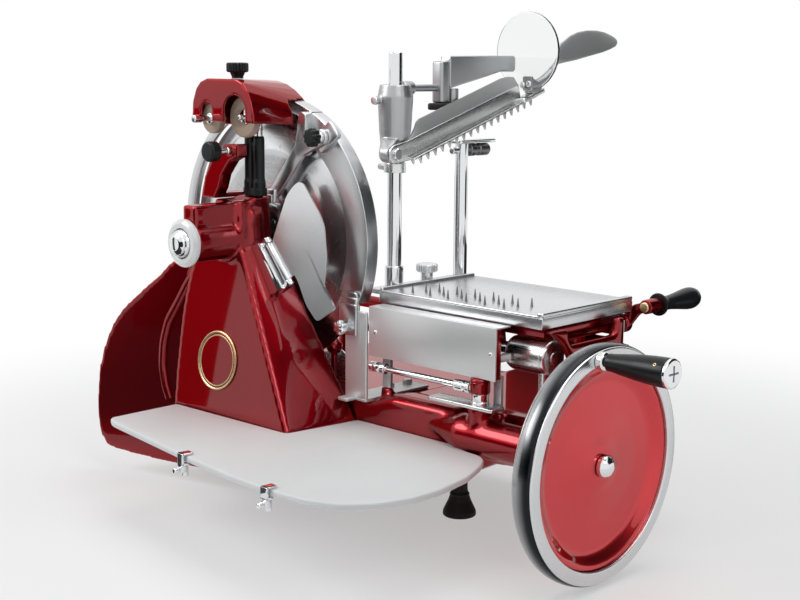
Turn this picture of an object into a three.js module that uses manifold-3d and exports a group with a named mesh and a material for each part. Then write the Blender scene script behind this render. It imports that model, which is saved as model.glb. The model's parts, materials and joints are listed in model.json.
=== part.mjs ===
// Hand crank meat slicer. Millimetres, +Z up. The blade turns about the Y direction and the
// flywheel about X. Shapes are first placed on the blade: x = 0 and y = 0 are its axis and cutting
// plane, z = 0 is the table top the feet stand on. The last lines move all to the frame's origin.
import * as THREE from "three";
import Module from "manifold-3d";

const wasm = await Module();
wasm.setup();
const { Manifold, CrossSection } = wasm;

// Driving dimensions
const ORIGIN = [-174.5, -83.13, 0]; // the blade's axis point as seen from the frame's origin
const GAP = 0.3; // clearance between pieces that touch
const BLADE_Z = 308; // blade shaft height
const BLADE_R = 150;
const GUARD_R = BLADE_R + 10; // outside of the ring guard
const WHEEL_Y = -2; // main shaft
const WHEEL_Z = 124;
const WHEEL_X = 480; // front face of the flywheel rim
const WHEEL_R = 120;
const RIM_R = WHEEL_R - 16; // inside of the rim band
const SHAFT_R = 6.5;
const TRAY_Z = 111; // top of the receiving tray
const DECK_Z = 134; // top of the base under the guard plate
const FRONT_Y = -12; // front wall of the base
const BACK_Y = 222;
const FEET = { // [x, y] of each foot
  foot_front_left: [-110, 22],
  foot_front_middle: [96, 22],
  foot_front_right: [229, 68],
  foot_rear_left: [-110, 196],
  foot_rear_right: [300, 196],
};
const FOOT_H = 42;
const BAR_Y = 30; // carriage guide bar
const BAR_Z = 212;
const BAR_R = 9;
const RAIL_Y = 142; // rear slide rail
const RAIL_Z = 212;
const TABLE = { x0: 158, x1: 388, y0: 8, y1: 165, top: 260, h: 16 };
const SCREW_X = 372; // feed screw
const SCREW_Z = 228;
const CRANK = [402, 250]; // x and z of the feed crank's handle
const POST1 = [147, 43];
const POST2 = [136, 168];
const POST_R = 8;
const PLATE_X = 170; // press plate, its pivot and its slope
const PIVOT = [22, 408];
const PRESS_SLOPE = 17.3;
const FACE = [[-108, 110], [-79, 302]]; // y and z of the column's front face, low and high
const DISC = [170, 246, 521]; // hand guard
const LINK = [325, -12]; // pivot of the tie rod
const LINK_Z = 160; // and its seat
const GRIP = [-20, 232]; // y and z of the flywheel's grip
const CHAIN_Y = -62;
const BEVEL_R = 18;
const SPROCKET_R = 12;

const SIDES = 24;
const deg = Math.PI / 180;

// Solids
function box(x0, x1, y0, y1, z0, z1) {
  return Manifold.cube([x1 - x0, y1 - y0, z1 - z0]).translate([x0, y0, z0]);
}

// A cylinder or cone along an axis, from a to b on it; the other two coordinates are its centre.
function rod(axis, a, b, c0, c1, r, rEnd = r, n = r < 5 ? 12 : SIDES) {
  const s = Manifold.cylinder(b - a, r, rEnd, n);
  if (axis === "z") return s.translate([c0, c1, a]);
  if (axis === "x") return s.rotate([0, 90, 0]).translate([a, c0, c1]);
  return s.rotate([-90, 0, 0]).translate([c0, a, c1]);
}

// A cylinder from point a to point b
function between(a, b, r, n = SIDES) {
  const d = [b[0] - a[0], b[1] - a[1], b[2] - a[2]];
  const length = Math.hypot(...d);
  return Manifold.cylinder(length, r, r, n)
    .rotate([0, Math.acos(d[2] / length) / deg, Math.atan2(d[1], d[0]) / deg])
    .translate(a);
}

// A turned shape: profile points are [radius, distance along the axis].
function turned(axis, profile, at, n = SIDES) {
  const s = Manifold.revolve(new CrossSection([profile], "NonZero"), n);
  if (axis === "x") return s.rotate([0, 90, 0]).translate(at);
  if (axis === "y") return s.rotate([-90, 0, 0]).translate(at);
  return s.translate(at);
}

// Flat shapes: an outline of [x, z], [y, z] or [x, y] points with a thickness along the third axis.
const outline = (points) => new CrossSection([points], "NonZero");
const slabY = (points, y0, y1) =>
  outline(points).extrude(y1 - y0).rotate([90, 0, 0]).translate([0, y1, 0]);
const slabX = (points, x0, x1) =>
  outline(points).extrude(x1 - x0).rotate([90, 0, 90]).translate([x0, 0, 0]);
const slabZ = (points, z0, z1) => outline(points).extrude(z1 - z0).translate([0, 0, z0]);
const circle = (x, y, r, n = 32) =>
  Array.from({ length: n }, (_, i) => [
    x + r * Math.cos((2 * Math.PI * i) / n),
    y + r * Math.sin((2 * Math.PI * i) / n),
  ]);

// A smooth line through the points, with so many steps between each two
function smooth(points, steps) {
  const at = (i) => points[Math.min(Math.max(i, 0), points.length - 1)];
  const line = [];
  for (let i = 0; i + 1 < points.length; i++) {
    for (let k = 0; k < steps; k++) {
      const t = k / steps;
      line.push([0, 1].map((a) => {
        const [p, q, r, s] = [at(i - 1)[a], at(i)[a], at(i + 1)[a], at(i + 2)[a]];
        return q + 0.5 * t * (r - p + t * (2 * p - 5 * q + 4 * r - s + t * (3 * (q - r) + s - p)));
      }));
    }
  }
  return [...line, at(points.length)];
}

const join = (...solids) => Manifold.union(solids);
const hull = (...solids) => Manifold.hull(solids);
const ball = (x, y, z, r, n = 24) => Manifold.sphere(r, n).translate([x, y, z]);

// An arc of the guard in the blade's plane: radii r0..r1, y0..y1, angles in degrees from +X.
function arc(r0, r1, y0, y1, from, to) {
  const steps = Math.max(1, Math.round((to - from) / 6));
  const ring = [];
  for (let i = 0; i <= steps; i++) {
    const a = (from + ((to - from) * i) / steps) * deg;
    ring.push([r1 * Math.cos(a), BLADE_Z + r1 * Math.sin(a)]);
  }
  for (let i = steps; i >= 0; i--) {
    const a = (from + ((to - from) * i) / steps) * deg;
    ring.push([r0 * Math.cos(a), BLADE_Z + r0 * Math.sin(a)]);
  }
  return slabY(ring, y0, y1);
}

// A knob with finger flutes, standing on the origin along +Z.
function fluted(r, h, n, depth) {
  const flutes = [];
  for (let i = 0; i < n; i++) {
    const a = (2 * Math.PI * i) / n;
    flutes.push(
      Manifold.cylinder(h + 2, depth, depth, 5).translate([
        (r + depth * 0.3) * Math.cos(a),
        (r + depth * 0.3) * Math.sin(a),
        -1,
      ]),
    );
  }
  return Manifold.cylinder(h, r, r, SIDES).subtract(join(...flutes));
}

// A 45 degree bevel gear about +Z: its pitch cone's point is the origin and it opens along +Z.
function bevel(r, teeth, phase) {
  const body = Manifold.revolve(
    new CrossSection([[[0, 9], [7.2, 9], [r - 2.2, r], [r - 2.2, r + 5], [0, r + 5]]], "NonZero"),
    teeth,
  );
  const list = [body];
  for (let i = 0; i < teeth; i++) {
    const a = (360 / teeth) * (i + phase);
    const near = Manifold.cube([1.8, 1.5, 1.8], true).rotate([0, 45, 0]).translate([8.9, 0, 9.4]);
    const far = Manifold.cube([3.6, 3, 3.6], true).rotate([0, 45, 0]).translate([r - 2.4, 0, r - 1.6]);
    list.push(hull(near, far).rotate([0, 0, a]));
  }
  return join(...list);
}

function toothed(r, teeth, h, w) {
  const list = [Manifold.cylinder(h, r - 3, r - 3, SIDES)];
  for (let i = 0; i < teeth; i++) {
    const tooth = hull(
      Manifold.cube([1, w, h], true).translate([r - 4, 0, h / 2]),
      Manifold.cube([1, w * 0.5, h], true).translate([r - 0.5, 0, h / 2]),
    );
    list.push(tooth.rotate([0, 0, (360 / teeth) * i]));
  }
  return join(...list);
}

// Colours for a quick look
const RED = 0x8e1420;
const STEEL = 0xb9bcc0;
const CHROME = 0xd9dde0;
const BLACK = 0x1c1e20;
const WHITE = 0xe4e6e6;

const machine = new THREE.Group();
machine.position.set(...ORIGIN);
const root = new THREE.Group();
root.name = "hand_crank_meat_slicer";
root.add(machine);

function add(name, solid, color) {
  const m = solid.getMesh();
  const g = new THREE.BufferGeometry();
  const v = new Float32Array(m.numVert * 3);
  for (let i = 0; i < m.numVert; i++) {
    v.set(m.vertProperties.subarray(i * m.numProp, i * m.numProp + 3), i * 3);
  }
  g.setAttribute("position", new THREE.BufferAttribute(v, 3));
  g.setIndex(new THREE.BufferAttribute(new Uint32Array(m.triVerts), 1));
  g.computeVertexNormals();
  const mesh = new THREE.Mesh(g, new THREE.MeshStandardMaterial({ color }));
  mesh.name = name;
  machine.add(mesh);
  return solid;
}

// Base: a hollow casting with the main shaft's tube along its front and the end tower
const baseOuter = join(
  slabY(
    [[-128, 66], [-118, 58], [262, 58], [345, 100], [405, 106], [405, DECK_Z], [-128, DECK_Z]],
    FRONT_Y,
    BACK_Y,
  ),
  hull(
    slabY([[165, 128], [165, 131], [198, 141], [287, 141], [300, 134], [300, 128]], FRONT_Y, 19),
    slabY([[165, 128], [165, 136], [198, 147], [287, 147], [300, 140], [300, 128]], FRONT_Y + 7, 19),
  ),
  rod("x", 255, 300, WHEEL_Y - 5, WHEEL_Z + 1, 6, 20.5),
  rod("x", 299, 415, WHEEL_Y - 5, WHEEL_Z + 1, 20.5),
  box(200, 405, 18, BACK_Y, DECK_Z - 2, 146),
);
const baseHollow = join(
  slabY([[-120, 50], [254, 50], [340, 92], [397, 98], [397, 126], [-120, 126]], 22, BACK_Y - 8),
  slabY([[-120, 50], [254, 50], [300, 80], [300, 90], [-120, 90]], FRONT_Y + 8, 23),
  box(208, 397, 26, BACK_Y - 8, 120, 139),
);
const bevelHump = hull(
  box(-6, 44, FRONT_Y, 20, DECK_Z - 4, DECK_Z),
  rod("x", -6, 44, WHEEL_Y, WHEEL_Z, 16),
).intersect(box(-6, 44, FRONT_Y, 24, 90, 152));
const tower = slabX(
  [
    [46, 140], [128, 140], [128, 245], [117, 245], [113, 228], [35, 228], [31, 245], [-4, 245],
    [9, 240], [26, 227], [37, 211], [41, 190],
  ],
  395,
  405,
);
const feetBosses = Object.values(FEET).map(([x, y]) =>
  join(
    rod("z", FOOT_H + GAP, 66, x, y, 13, 17, 12),
    rod("z", 60, x > 200 ? 141 : DECK_Z - 4, x, y, 9, 9, 12),
  ),
);
const base = join(
  baseOuter.subtract(baseHollow),
  bevelHump,
  tower,
  box(-44, -22, 18, 42, DECK_Z - 4, BAR_Z),
  box(170, 186, -2, 6, 130, 151),
  box(332, 344, -2, 6, 130, 151),
  box(-44, -30, RAIL_Y - 6, RAIL_Y + 6, DECK_Z - 4, RAIL_Z),
  box(384, 400, RAIL_Y - 6, RAIL_Y + 6, 140, RAIL_Z),
  rod("x", -34, 388, RAIL_Y, RAIL_Z, 6, 6, 12),
  box(190, 330, -50, -11, TRAY_Z - 12, TRAY_Z - 7 - GAP),
  box(-34, 388, RAIL_Y - 4, RAIL_Y + 4, RAIL_Z - 10, RAIL_Z),
  ...feetBosses,
);
const shaftBore = rod("x", 10, 500, WHEEL_Y, WHEEL_Z, SHAFT_R + 0.08);
const bevelRoom = join(
  rod("x", 4, 26, WHEEL_Y, WHEEL_Z, BEVEL_R + 3),
  rod("y", WHEEL_Y - 30, WHEEL_Y + 2, 0, WHEEL_Z, BEVEL_R + 3),
);
const barBore = rod("x", -60, 500, BAR_Y, BAR_Z, BAR_R + GAP, BAR_R + GAP, 32).intersect(
  box(-60, 0, 0, 60, 150, 240),
);
const pivotSeat = join(
  rod("z", 130, LINK_Z - 2, ...LINK, 12),
  box(262, 350, -23, -2, LINK_Z - 3, LINK_Z),
  box(318, 332, -14, 20, 140, 150),
);
add(
  "base_casting",
  base.add(pivotSeat).subtract(join(shaftBore, bevelRoom, barBore)),
  RED,
);

// Column: a hollow tapered casting with the blade shaft's housing, the sharpener's seat and the
// swept side shield
const faceY = (z) =>
  FACE[0][0] + ((z - FACE[0][1]) * (FACE[1][0] - FACE[0][0])) / (FACE[1][1] - FACE[0][1]);
const faceEdge = [[-68, 112], [-70, 150], [-71, 190], [-69, 230], [-64, 262], [-58, 282]]; // x and z
const columnOuter = join(
  hull(
    ...faceEdge.map(([x, z]) => box(x, x + 20, faceY(z), faceY(z) + 30, z - 1, z)),
    box(-66, 132, FACE[0][0], FACE[0][0] + 1, 56, FACE[0][1]),
    box(-66, 144, -14, FRONT_Y - GAP, 56, FACE[0][1]),
    box(-50, 21, FACE[1][0], FACE[1][0] + 1, FACE[1][1] - 2, FACE[1][1]),
    box(-50, 30, -32, -30, FACE[1][1] - 2, FACE[1][1]),
  ),
  hull(box(-38, 24, -79, -30, 298, 300), box(-26, 19, -76, -30, 350, 352)),
  slabY([[-4, 350], [8, 300], [26, 306], [24, 320], [25, 336], [20, 345], [11, 350]].reverse(), -62, -46),
  rod("y", -137, -60, 0, BLADE_Z, 23),
  box(-8, 15, -136, -70, 326, 350),
  hull(box(-18, 20, -58, -30, 345, 352), box(-6, 24, -58, -40, 354, 356)),
  box(-40, 120, -124, -107, TRAY_Z - 12, TRAY_Z - 7 - GAP),
);
const columnHollow = join(
  hull(
    box(-57, 122, FACE[0][0] + 8, FACE[0][0] + 9, 50, FACE[0][1] - 4),
    box(-57, 134, -22, -20, 50, FACE[0][1] - 4),
    box(-40, 15, -70, -69, 294, 296),
    box(-40, 20, -40, -39, 294, 296),
  ),
  box(-20, 19, -70, -40, 290, 326),
  box(-20, 14, -70, -40, 325, 340),
  box(-30, 44, -30, 0, 50, WHEEL_Z + 26),
);
const shaftWeb = box(-64, 50, -50, -44, WHEEL_Z - 26, WHEEL_Z + 22)
  .intersect(columnOuter)
  .subtract(rod("y", -60, -40, 0, WHEEL_Z, 6.08));
const shield = slabY(
  smooth([
    [-40, 24], [-98, 24], [-187, 29], [-205, 38], [-213, 58], [-214, 92], [-207, 138], [-193, 175],
    [-173, 205], [-134, 239], [-112, 256], [-95, 272], [-60, 291], [-34, 300],
  ], 3).reverse(),
  -8,
  0,
).transform([1, 0.25, 0, 0, 0, 1, 0, 0, 0, 0, 1, 0, 0, -56, 0, 1]);
const shaftHole = rod("y", -140, 0, 0, BLADE_Z, 8.08);
add(
  "column_casting",
  join(columnOuter, shield).subtract(columnHollow).subtract(shaftHole).add(shaftWeb),
  RED,
);

// Badge: a plain raised ring and disc on the column's sloping face
const badgeTilt = Math.atan2(FACE[1][0] - FACE[0][0], FACE[1][1] - FACE[0][1]) / deg;
add(
  "badge_plate",
  rod("z", 0, 2, 0, 0, 34).subtract(rod("z", 1.2, 3, 0, 0, 30)).rotate([90 - badgeTilt, 0, 0])
    .translate([5, faceY(170) - GAP - 0.1, 170]),
  0xcaa94f,
);

// Feet
for (const [name, [x, y]] of Object.entries(FEET)) {
  const h = FOOT_H;
  add(
    name,
    turned("z", [[0, 0], [19, 0], [20, 5], [12, 20], [9, 32], [9, h], [0, h]], [x, y, 0], 16),
    BLACK,
  );
}

// Blade, hub, shaft and its sprocket
add(
  "blade_disc",
  turned(
    "y",
    [
      [24, -12], [BLADE_R - 55, -12], [BLADE_R - 23, -5.2], [BLADE_R, -0.3], [BLADE_R, 0],
      [BLADE_R - 28, -0.8], [24, -4],
    ],
    [0, 0, BLADE_Z],
    48,
  ),
  CHROME,
);
add(
  "blade_hub",
  join(
    turned("y", [[8.4, -22], [30, -22], [36, -19], [36, -12.3], [23.7, -12.3], [23.7, -3], [8.4, -3]],
      [0, 0, BLADE_Z]),
  ),
  STEEL,
);
const upperSprocket = toothed(SPROCKET_R + 1.5, 8, 3, 3.6)
  .rotate([-90, 0, 0])
  .translate([0, CHAIN_Y - 1.5, BLADE_Z]);
add(
  "blade_shaft",
  join(
    rod("y", -137.5, -3, 0, BLADE_Z, 8),
    turned("y", [[0, -3], [14, -3], [10, 1.5], [0, 1.5]], [0, 0, BLADE_Z]),
    upperSprocket,
  ),
  STEEL,
);

// Cap over the front of the blade shaft's housing
add(
  "cap_ring",
  turned("y", [[17, -8], [24, -8], [27, -5], [27, 0], [17, 0]], [0, -137 - GAP, BLADE_Z]),
  WHITE,
);
add(
  "cap_button",
  turned("y", [[0, -16], [8, -15.4], [13, -13], [16, -8], [16, -1], [0, -1]], [0, -137.8, BLADE_Z]),
  CHROME,
);

// Chain drive: cross shaft with the lower sprocket, and the chain as a closed channel
const lowerR = 3 * SPROCKET_R; // the blade turns three times as fast
add(
  "cross_shaft",
  join(
    rod("y", -76, WHEEL_Y - 12, 0, WHEEL_Z, 6, 6, 16),
    toothed(lowerR + 1.5, 24, 3, 3.6).rotate([-90, 0, 0]).translate([0, CHAIN_Y - 1.5, WHEEL_Z]),
    bevel(BEVEL_R, 12, 0.5).rotate([90, 0, 0]).translate([0, WHEEL_Y, WHEEL_Z]),
  ),
  STEEL,
);
const loop = (rLow, rHigh, y0, y1) =>
  hull(rod("y", y0, y1, 0, WHEEL_Z, rLow, rLow, 32), rod("y", y0, y1, 0, BLADE_Z, rHigh, rHigh, 16));
add(
  "drive_chain",
  loop(lowerR + 4.5, SPROCKET_R + 4.5, CHAIN_Y - 4, CHAIN_Y + 4)
    .subtract(loop(lowerR - 1.2, SPROCKET_R - 1.2, CHAIN_Y - 6, CHAIN_Y + 6))
    .subtract(loop(lowerR + 2.2, SPROCKET_R + 2.2, CHAIN_Y - 2.2, CHAIN_Y + 2.2)),
  0x6d6f72,
);
const driveBevel = bevel(BEVEL_R, 12, 0).rotate([0, 90, 0]).translate([0, WHEEL_Y, WHEEL_Z]);

// Flywheel: rim, dished disc, hub cap, main shaft with the drive gear, and the grip's spindle
const wheelAt = [WHEEL_X, WHEEL_Y, WHEEL_Z];
add(
  "wheel_rim",
  turned(
    "x",
    [
      [RIM_R, -20], [WHEEL_R - 6, -25], [WHEEL_R - 2, -22], [WHEEL_R, -14], [WHEEL_R, -8],
      [WHEEL_R - 1, -2], [WHEEL_R - 3, 0], [RIM_R, 0],
    ],
    wheelAt,
    48,
  ),
  CHROME,
);
add(
  "wheel_disc",
  turned(
    "x",
    [
      [SHAFT_R + GAP, -26], [20, -26], [22, -18], [RIM_R - 16, -18], [RIM_R - GAP, -16],
      [RIM_R - GAP, -3], [RIM_R - 6, -5], [RIM_R - 16, -12], [30, -11], [20, -6], [SHAFT_R + GAP, -6],
    ],
    wheelAt,
    48,
  ),
  RED,
);
add(
  "main_shaft",
  join(rod("x", BEVEL_R + 2, WHEEL_X - 6, WHEEL_Y, WHEEL_Z, SHAFT_R), driveBevel),
  STEEL,
);
add(
  "hub_cap",
  turned("x", [[0, -6 + GAP], [11.5, -6 + GAP], [11.5, -1], [9, 2.6], [5, 4.6], [0, 5.2]], wheelAt),
  CHROME,
);
add(
  "grip_spindle",
  turned(
    "x",
    [
      [0, GAP], [9, GAP], [9, 6], [5, 9], [5, 77 + GAP], [14.4, 77 + GAP], [14.4, 80.5], [12.5, 82],
      [0, 82],
    ],
    [WHEEL_X, ...GRIP],
  ),
  STEEL,
);
add(
  "crank_grip",
  turned(
    "x",
    [[5.08, 10], [8.5, 10], [9.8, 22], [12.6, 44], [14, 64], [14.2, 77], [5.08, 77]],
    [WHEEL_X, ...GRIP],
  ),
  BLACK,
);

// Receiving tray with two clips on its front edge
const trayEdge = [
  [-55, -113], [-55, -206], [-40, -214], [124, -240], [210, -251], [274, -254], [320, -250], [352, -238],
  [374, -212], [386, -176], [387, -141], [378, -90], [362, -52], [350, -33], [338, -21],
  [326, -15], [314, FRONT_Y - 0.5], [146, FRONT_Y - 0.5],
  [134, -109],
];
add(
  "receiving_tray",
  slabZ([...trayEdge], TRAY_Z - 7, TRAY_Z).subtract(
    join(
      rod("x", 250, 301, WHEEL_Y - 5, WHEEL_Z + 1, 5.2, 21.2),
      rod("x", 299, 430, WHEEL_Y - 5, WHEEL_Z + 1, 21.1),
    ),
  ),
  WHITE,
);
for (const [name, x, y, slope] of [["tray_clip_left", 124, -240, 9], ["tray_clip_right", 270, -253.6, 3]]) {
  add(
    name,
    join(
      box(-5, 5, -5, 9, GAP, 2.5),
      box(-5, 5, -5, -1.4, -12, 2.5),
      rod("z", -22, -8, 0, 1.5, 3.2, 3.2, 16),
      box(-5, 5, -5, 4, -10.5, -7.5),
      rod("y", -12, -3, 0, -15, 3, 3, 16),
      box(-4, 4, -5, 2, -18, -8),
    ).rotate([0, 0, -slope]).translate([x, y, TRAY_Z]),
    CHROME,
  );
}

// Guard: fixed part with its stay, removable ring with tabs, knob, bolt and latch
const GUARD_IN = GUARD_R - 13; // inside of the fixed part
const onGuard = (r, angle) => [r * Math.cos(angle * deg), BLADE_Z + r * Math.sin(angle * deg)];
const [topX, topZ] = onGuard(GUARD_R - 8.7, 50.63); // the guard's upper knob
const [boltX, boltZ] = onGuard(GUARD_R + 2, -34.18); // and its lower bolt
const [elbowX, elbowZ] = onGuard(GUARD_R - 40.7, 58.7); // the stay's bend
const stay = join(
  hull(rod("y", -24, -19, 14, 354, 7, 7, 16), rod("y", -24, -19, elbowX, elbowZ, 9, 9, 16)),
  hull(rod("y", -24, -19, elbowX, elbowZ, 9, 9, 16), rod("y", -24, -19, topX, topZ, 9, 9, 16)),
  hull(rod("y", -24, -19, elbowX, elbowZ, 9, 9, 16), arc(GUARD_IN, GUARD_R, -24, -19, 64, 68.3)),
  arc(GUARD_IN, GUARD_R, -24, -10, 64, 68.3),
);
const boltHole = rod("y", -40, 0, boltX, boltZ, 4.3, 4.3, 16);
const knobHole = rod("y", -40, 0, topX, topZ, 4.3, 4.3, 16);
add(
  "fixed_guard",
  join(
    arc(GUARD_IN, GUARD_R, -13, -10, 64, 214),
    arc(GUARD_R - 3, GUARD_R, -13, 4, 64, 214),
    stay,
    hull(box(-6, 20, -30 + GAP, -26, 346, 356), box(6, 22, -24, -19, 348, 362)),
  ).subtract(join(rod("y", -40, 10, 0, BLADE_Z, 37), knobHole)),
  STEEL,
);
add(
  "guard_ring",
  join(
    arc(GUARD_R - 33, GUARD_R, -13, -10, -24, 63.2),
    arc(GUARD_R - 3, GUARD_R, -13, 4, -24, 63.2),
    box(-14, 20, -18.7, -12, -14, 14).rotate([0, 30, 0]).translate([topX, 0, topZ]),
    box(boltX - 10, boltX + 17, -21.4, -18.4, boltZ - 9, boltZ + 27),
    hull(
      box(boltX - 10, boltX + 17, -21.4, -18.4, boltZ + 23, boltZ + 27),
      box(boltX - 12, boltX + 15, -13, -10, boltZ + 31, boltZ + 39),
    ),
  ).subtract(join(boltHole, knobHole)),
  CHROME,
);
add(
  "guard_knob",
  join(
    fluted(10.5, 11, 9, 1.6).rotate([-90, 0, 0]).translate([topX, -41, topZ]),
    rod("y", -31, -24 - GAP, topX, topZ, 6.5, 6.5, 16),
    rod("y", -25, -9.5, topX, topZ, 4, 4, 16),
  ),
  BLACK,
);
add(
  "guard_bolt",
  join(
    fluted(8.5, 8, 6, 2.2).rotate([-90, 0, 0]).translate([boltX, -33, boltZ]),
    rod("y", -26, -21.4 - GAP, boltX, boltZ, 6, 6, 16),
    rod("y", -22, -13.6, boltX, boltZ, 4, 4, 16),
  ),
  CHROME,
);
add(
  "guard_bracket",
  join(
    box(130, 164, -18.2 + GAP, -14.2, DECK_Z + 3, 236),
    box(130, 164, -18.2 + GAP, 86, DECK_Z + GAP, DECK_Z + 4),
    box(131, 147, -31, -17, DECK_Z + GAP, DECK_Z + 4),
    rod("z", DECK_Z + 3, DECK_Z + 9, 140, 44, 6, 6, 6),
    rod("z", DECK_Z + 3, DECK_Z + 9, 140, 74, 6, 6, 6),
  ).subtract(join(boltHole, rod("z", DECK_Z - 2, DECK_Z + 6, 139, -24, 3.4, 3.4, 16))),
  STEEL,
);
add(
  "guard_latch",
  join(
    rod("z", DECK_Z + GAP, 180, 80, 13, 4, 4, 12),
    ball(80, 13, 182, 9.5, 12),
    rod("z", 182, 208, 80, 9, 3, 2.6, 12),
  ),
  RED,
);

// Slice deflector: a curved sheet on a slanting hinge beside the column. HINGE is the hinge's upper
// point and its direction; the sheet's points are x and z, and it leans back away from the hinge.
const HINGE = { at: [44, -54, 304], dir: [0.65, 0, -0.76], length: 50 };
const onHinge = (t) => HINGE.at.map((v, i) => v + HINGE.dir[i] * t);
const lugs = [-3.6, HINGE.length + 3.6].map((t) =>
  hull(
    between(onHinge(t - 3), onHinge(t + 3), 4.6, 16),
    ball(onHinge(t)[0] - 15, -54, onHinge(t)[2] - 12, 3, 8),
  ),
);
const [lowX, , lowZ] = onHinge(HINGE.length);
const lugPlate = slabY(
  [[20, 300], [lowX - 24.5, lowZ - 20], [lowX - 1.5, lowZ - 8.5], [36.5, 304]].reverse(),
  -64,
  -46,
);
add(
  "deflector_bracket",
  join(lugPlate, ...lugs)
    .subtract(columnOuter.translate([0.4, 0, 0]))
    .subtract(between(onHinge(-12), onHinge(HINGE.length + 12), 2.5)),
  CHROME,
);
const fromHinge = (x, z) => (x - HINGE.at[0]) * 0.76 + (z - HINGE.at[2]) * 0.65;
const sheet = slabY(
  [
    [47, 305], [48, 312], [59, 358], [66, 369], [73, 375], [80, 374], [86, 367], [107, 341], [115, 327],
    [118, 313], [122, 296], [124, 259], [143, 241], [120, 224], [103, 241], [89, 265], [82, 273], [78, 268],
  ].reverse(),
  0,
  2,
)
  .refineToLength(24)
  .warp((p) => {
    p[1] += -53 + 0.25 * fromHinge(p[0], p[2]);
  });
add(
  "slice_deflector",
  join(
    sheet,
    between(onHinge(0), onHinge(HINGE.length), 4.4, 16),
    between(onHinge(-7), onHinge(HINGE.length + 7), 2.4),
  ),
  CHROME,
);

// Sharpener: arm with its knob on the column, hood on two pins, two stones and the hood's knob
const HOOD = { front: -85, back: 7, wall: 2.6 };
const hoodShape = [
  [-54, 440], [55, 440], [54, 452], [50, 464], [44, 475], [36, 484], [26, 488], [-26, 488], [-38, 484],
  [-46, 476], [-52, 462],
];
const hoodRear = [
  [-54, 436], [56, 436], [54, 443], [49, 451], [43, 459], [34, 467], [22, 475], [8, 481.5], [-8, 485],
  [-30, 486], [-42, 481], [-50, 469], [-54, 452],
];
const archRoom = join(
  hull(rod("y", -90, -80, -27, 452, 9), rod("y", -90, -80, -27, 430, 9)),
  hull(rod("y", -90, -80, 22, 452, 18), rod("y", -90, -80, 22, 430, 18)),
);
const shrink = (points, w) =>
  points.map(([x, z]) => [x - Math.sign(x) * w, z > 443 ? z - w : z - 20]);
const hoodOuter = hull(
  slabY(hoodShape, HOOD.front, HOOD.front + 1),
  slabY(hoodRear, HOOD.back - 1, HOOD.back),
);
const hoodRoom = hull(
  slabY(shrink(hoodShape, HOOD.wall), HOOD.front + HOOD.wall, HOOD.front + 4),
  slabY(shrink(hoodRear, HOOD.wall), HOOD.back - 4, HOOD.back - HOOD.wall),
);
const bladeSlot = rod("y", -25, 4.6, 0, BLADE_Z, GUARD_R + 1.2, GUARD_R + 1.2, 72);
const pinHoles = join(rod("z", 430, 476, 6, -49, 4.3), rod("z", 430, 476, 22, -49, 4.3));
const stoneHoles = join(rod("y", -62, -54, -27, 443, 3.28), rod("y", -62, -54, 22, 446, 3.08));
add(
  "sharpener_hood",
  join(
    hoodOuter.subtract(hoodRoom).subtract(archRoom),
    box(-4, 30, -62, -40, 468, 480),
    box(-36, 32, -60, -56, 436, 480),
  ).subtract(join(pinHoles, bladeSlot, stoneHoles)),
  RED,
);
add(
  "sharpener_post",
  join(
    hull(box(-2, 30, -57, -41, 356 + GAP, 418), box(4, 24, -54, -44, 424, 426)),
    box(24, 34, -56, -42, 356 + GAP, 380),
  ).subtract(join(rod("z", 399, 430, 6, -49, 4.3), rod("z", 399, 430, 22, -49, 4.3))),
  BLACK,
);
add(
  "hood_pins",
  join(
    rod("z", 400, 475, 6, -49, 4),
    rod("z", 400, 475, 22, -49, 4),
    box(2, 26, -52, -46, 430, 433),
  ),
  CHROME,
);
add(
  "hood_knob",
  join(
    fluted(12.5, 11, 10, 1.8).translate([6, -66, 495]),
    rod("z", 488.1, 496, 6, -66, 7, 9),
  ),
  BLACK,
);
add(
  "grinding_stone",
  join(
    rod("y", -78, -70, -27, 443, 17),
    rod("y", -102, -52, -27, 443, 3.2, 3.2, 12),
    rod("y", -104, -92, -27, 443, 4.4, 4.4, 12),
  ),
  0xb7a58c,
);
add(
  "honing_stone",
  join(
    turned("y", [[8, 0], [13, -5], [22, -5], [23, -3], [23, 3], [8, 5]], [22, -68, 446]),
    rod("y", -70, -63.5, 22, 446, 8.4, 8.4, 16),
    rod("y", -78, -54.5, 22, 446, 3, 3, 12),
  ),
  0xc09a78,
);
add(
  "sharpener_arm",
  join(
    slabY(
      [
        [-46, 352.4], [-22, 352.4], [-14, 364], [-8, 380], [6, 396], [20, 402], [20, 416], [-4, 415],
        [-26, 398], [-40, 376],
      ],
      -79,
      -64,
    ),
    box(-44, -20, -78, -34, 352.4, 358),
  ).subtract(rod("y", -100, -60, 6, 408, 4.3)),
  RED,
);
add(
  "arm_knob",
  join(rod("y", -111, -98, 6, 408, 11.5), rod("y", -100, -64, 6, 408, 4)),
  BLACK,
);

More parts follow.
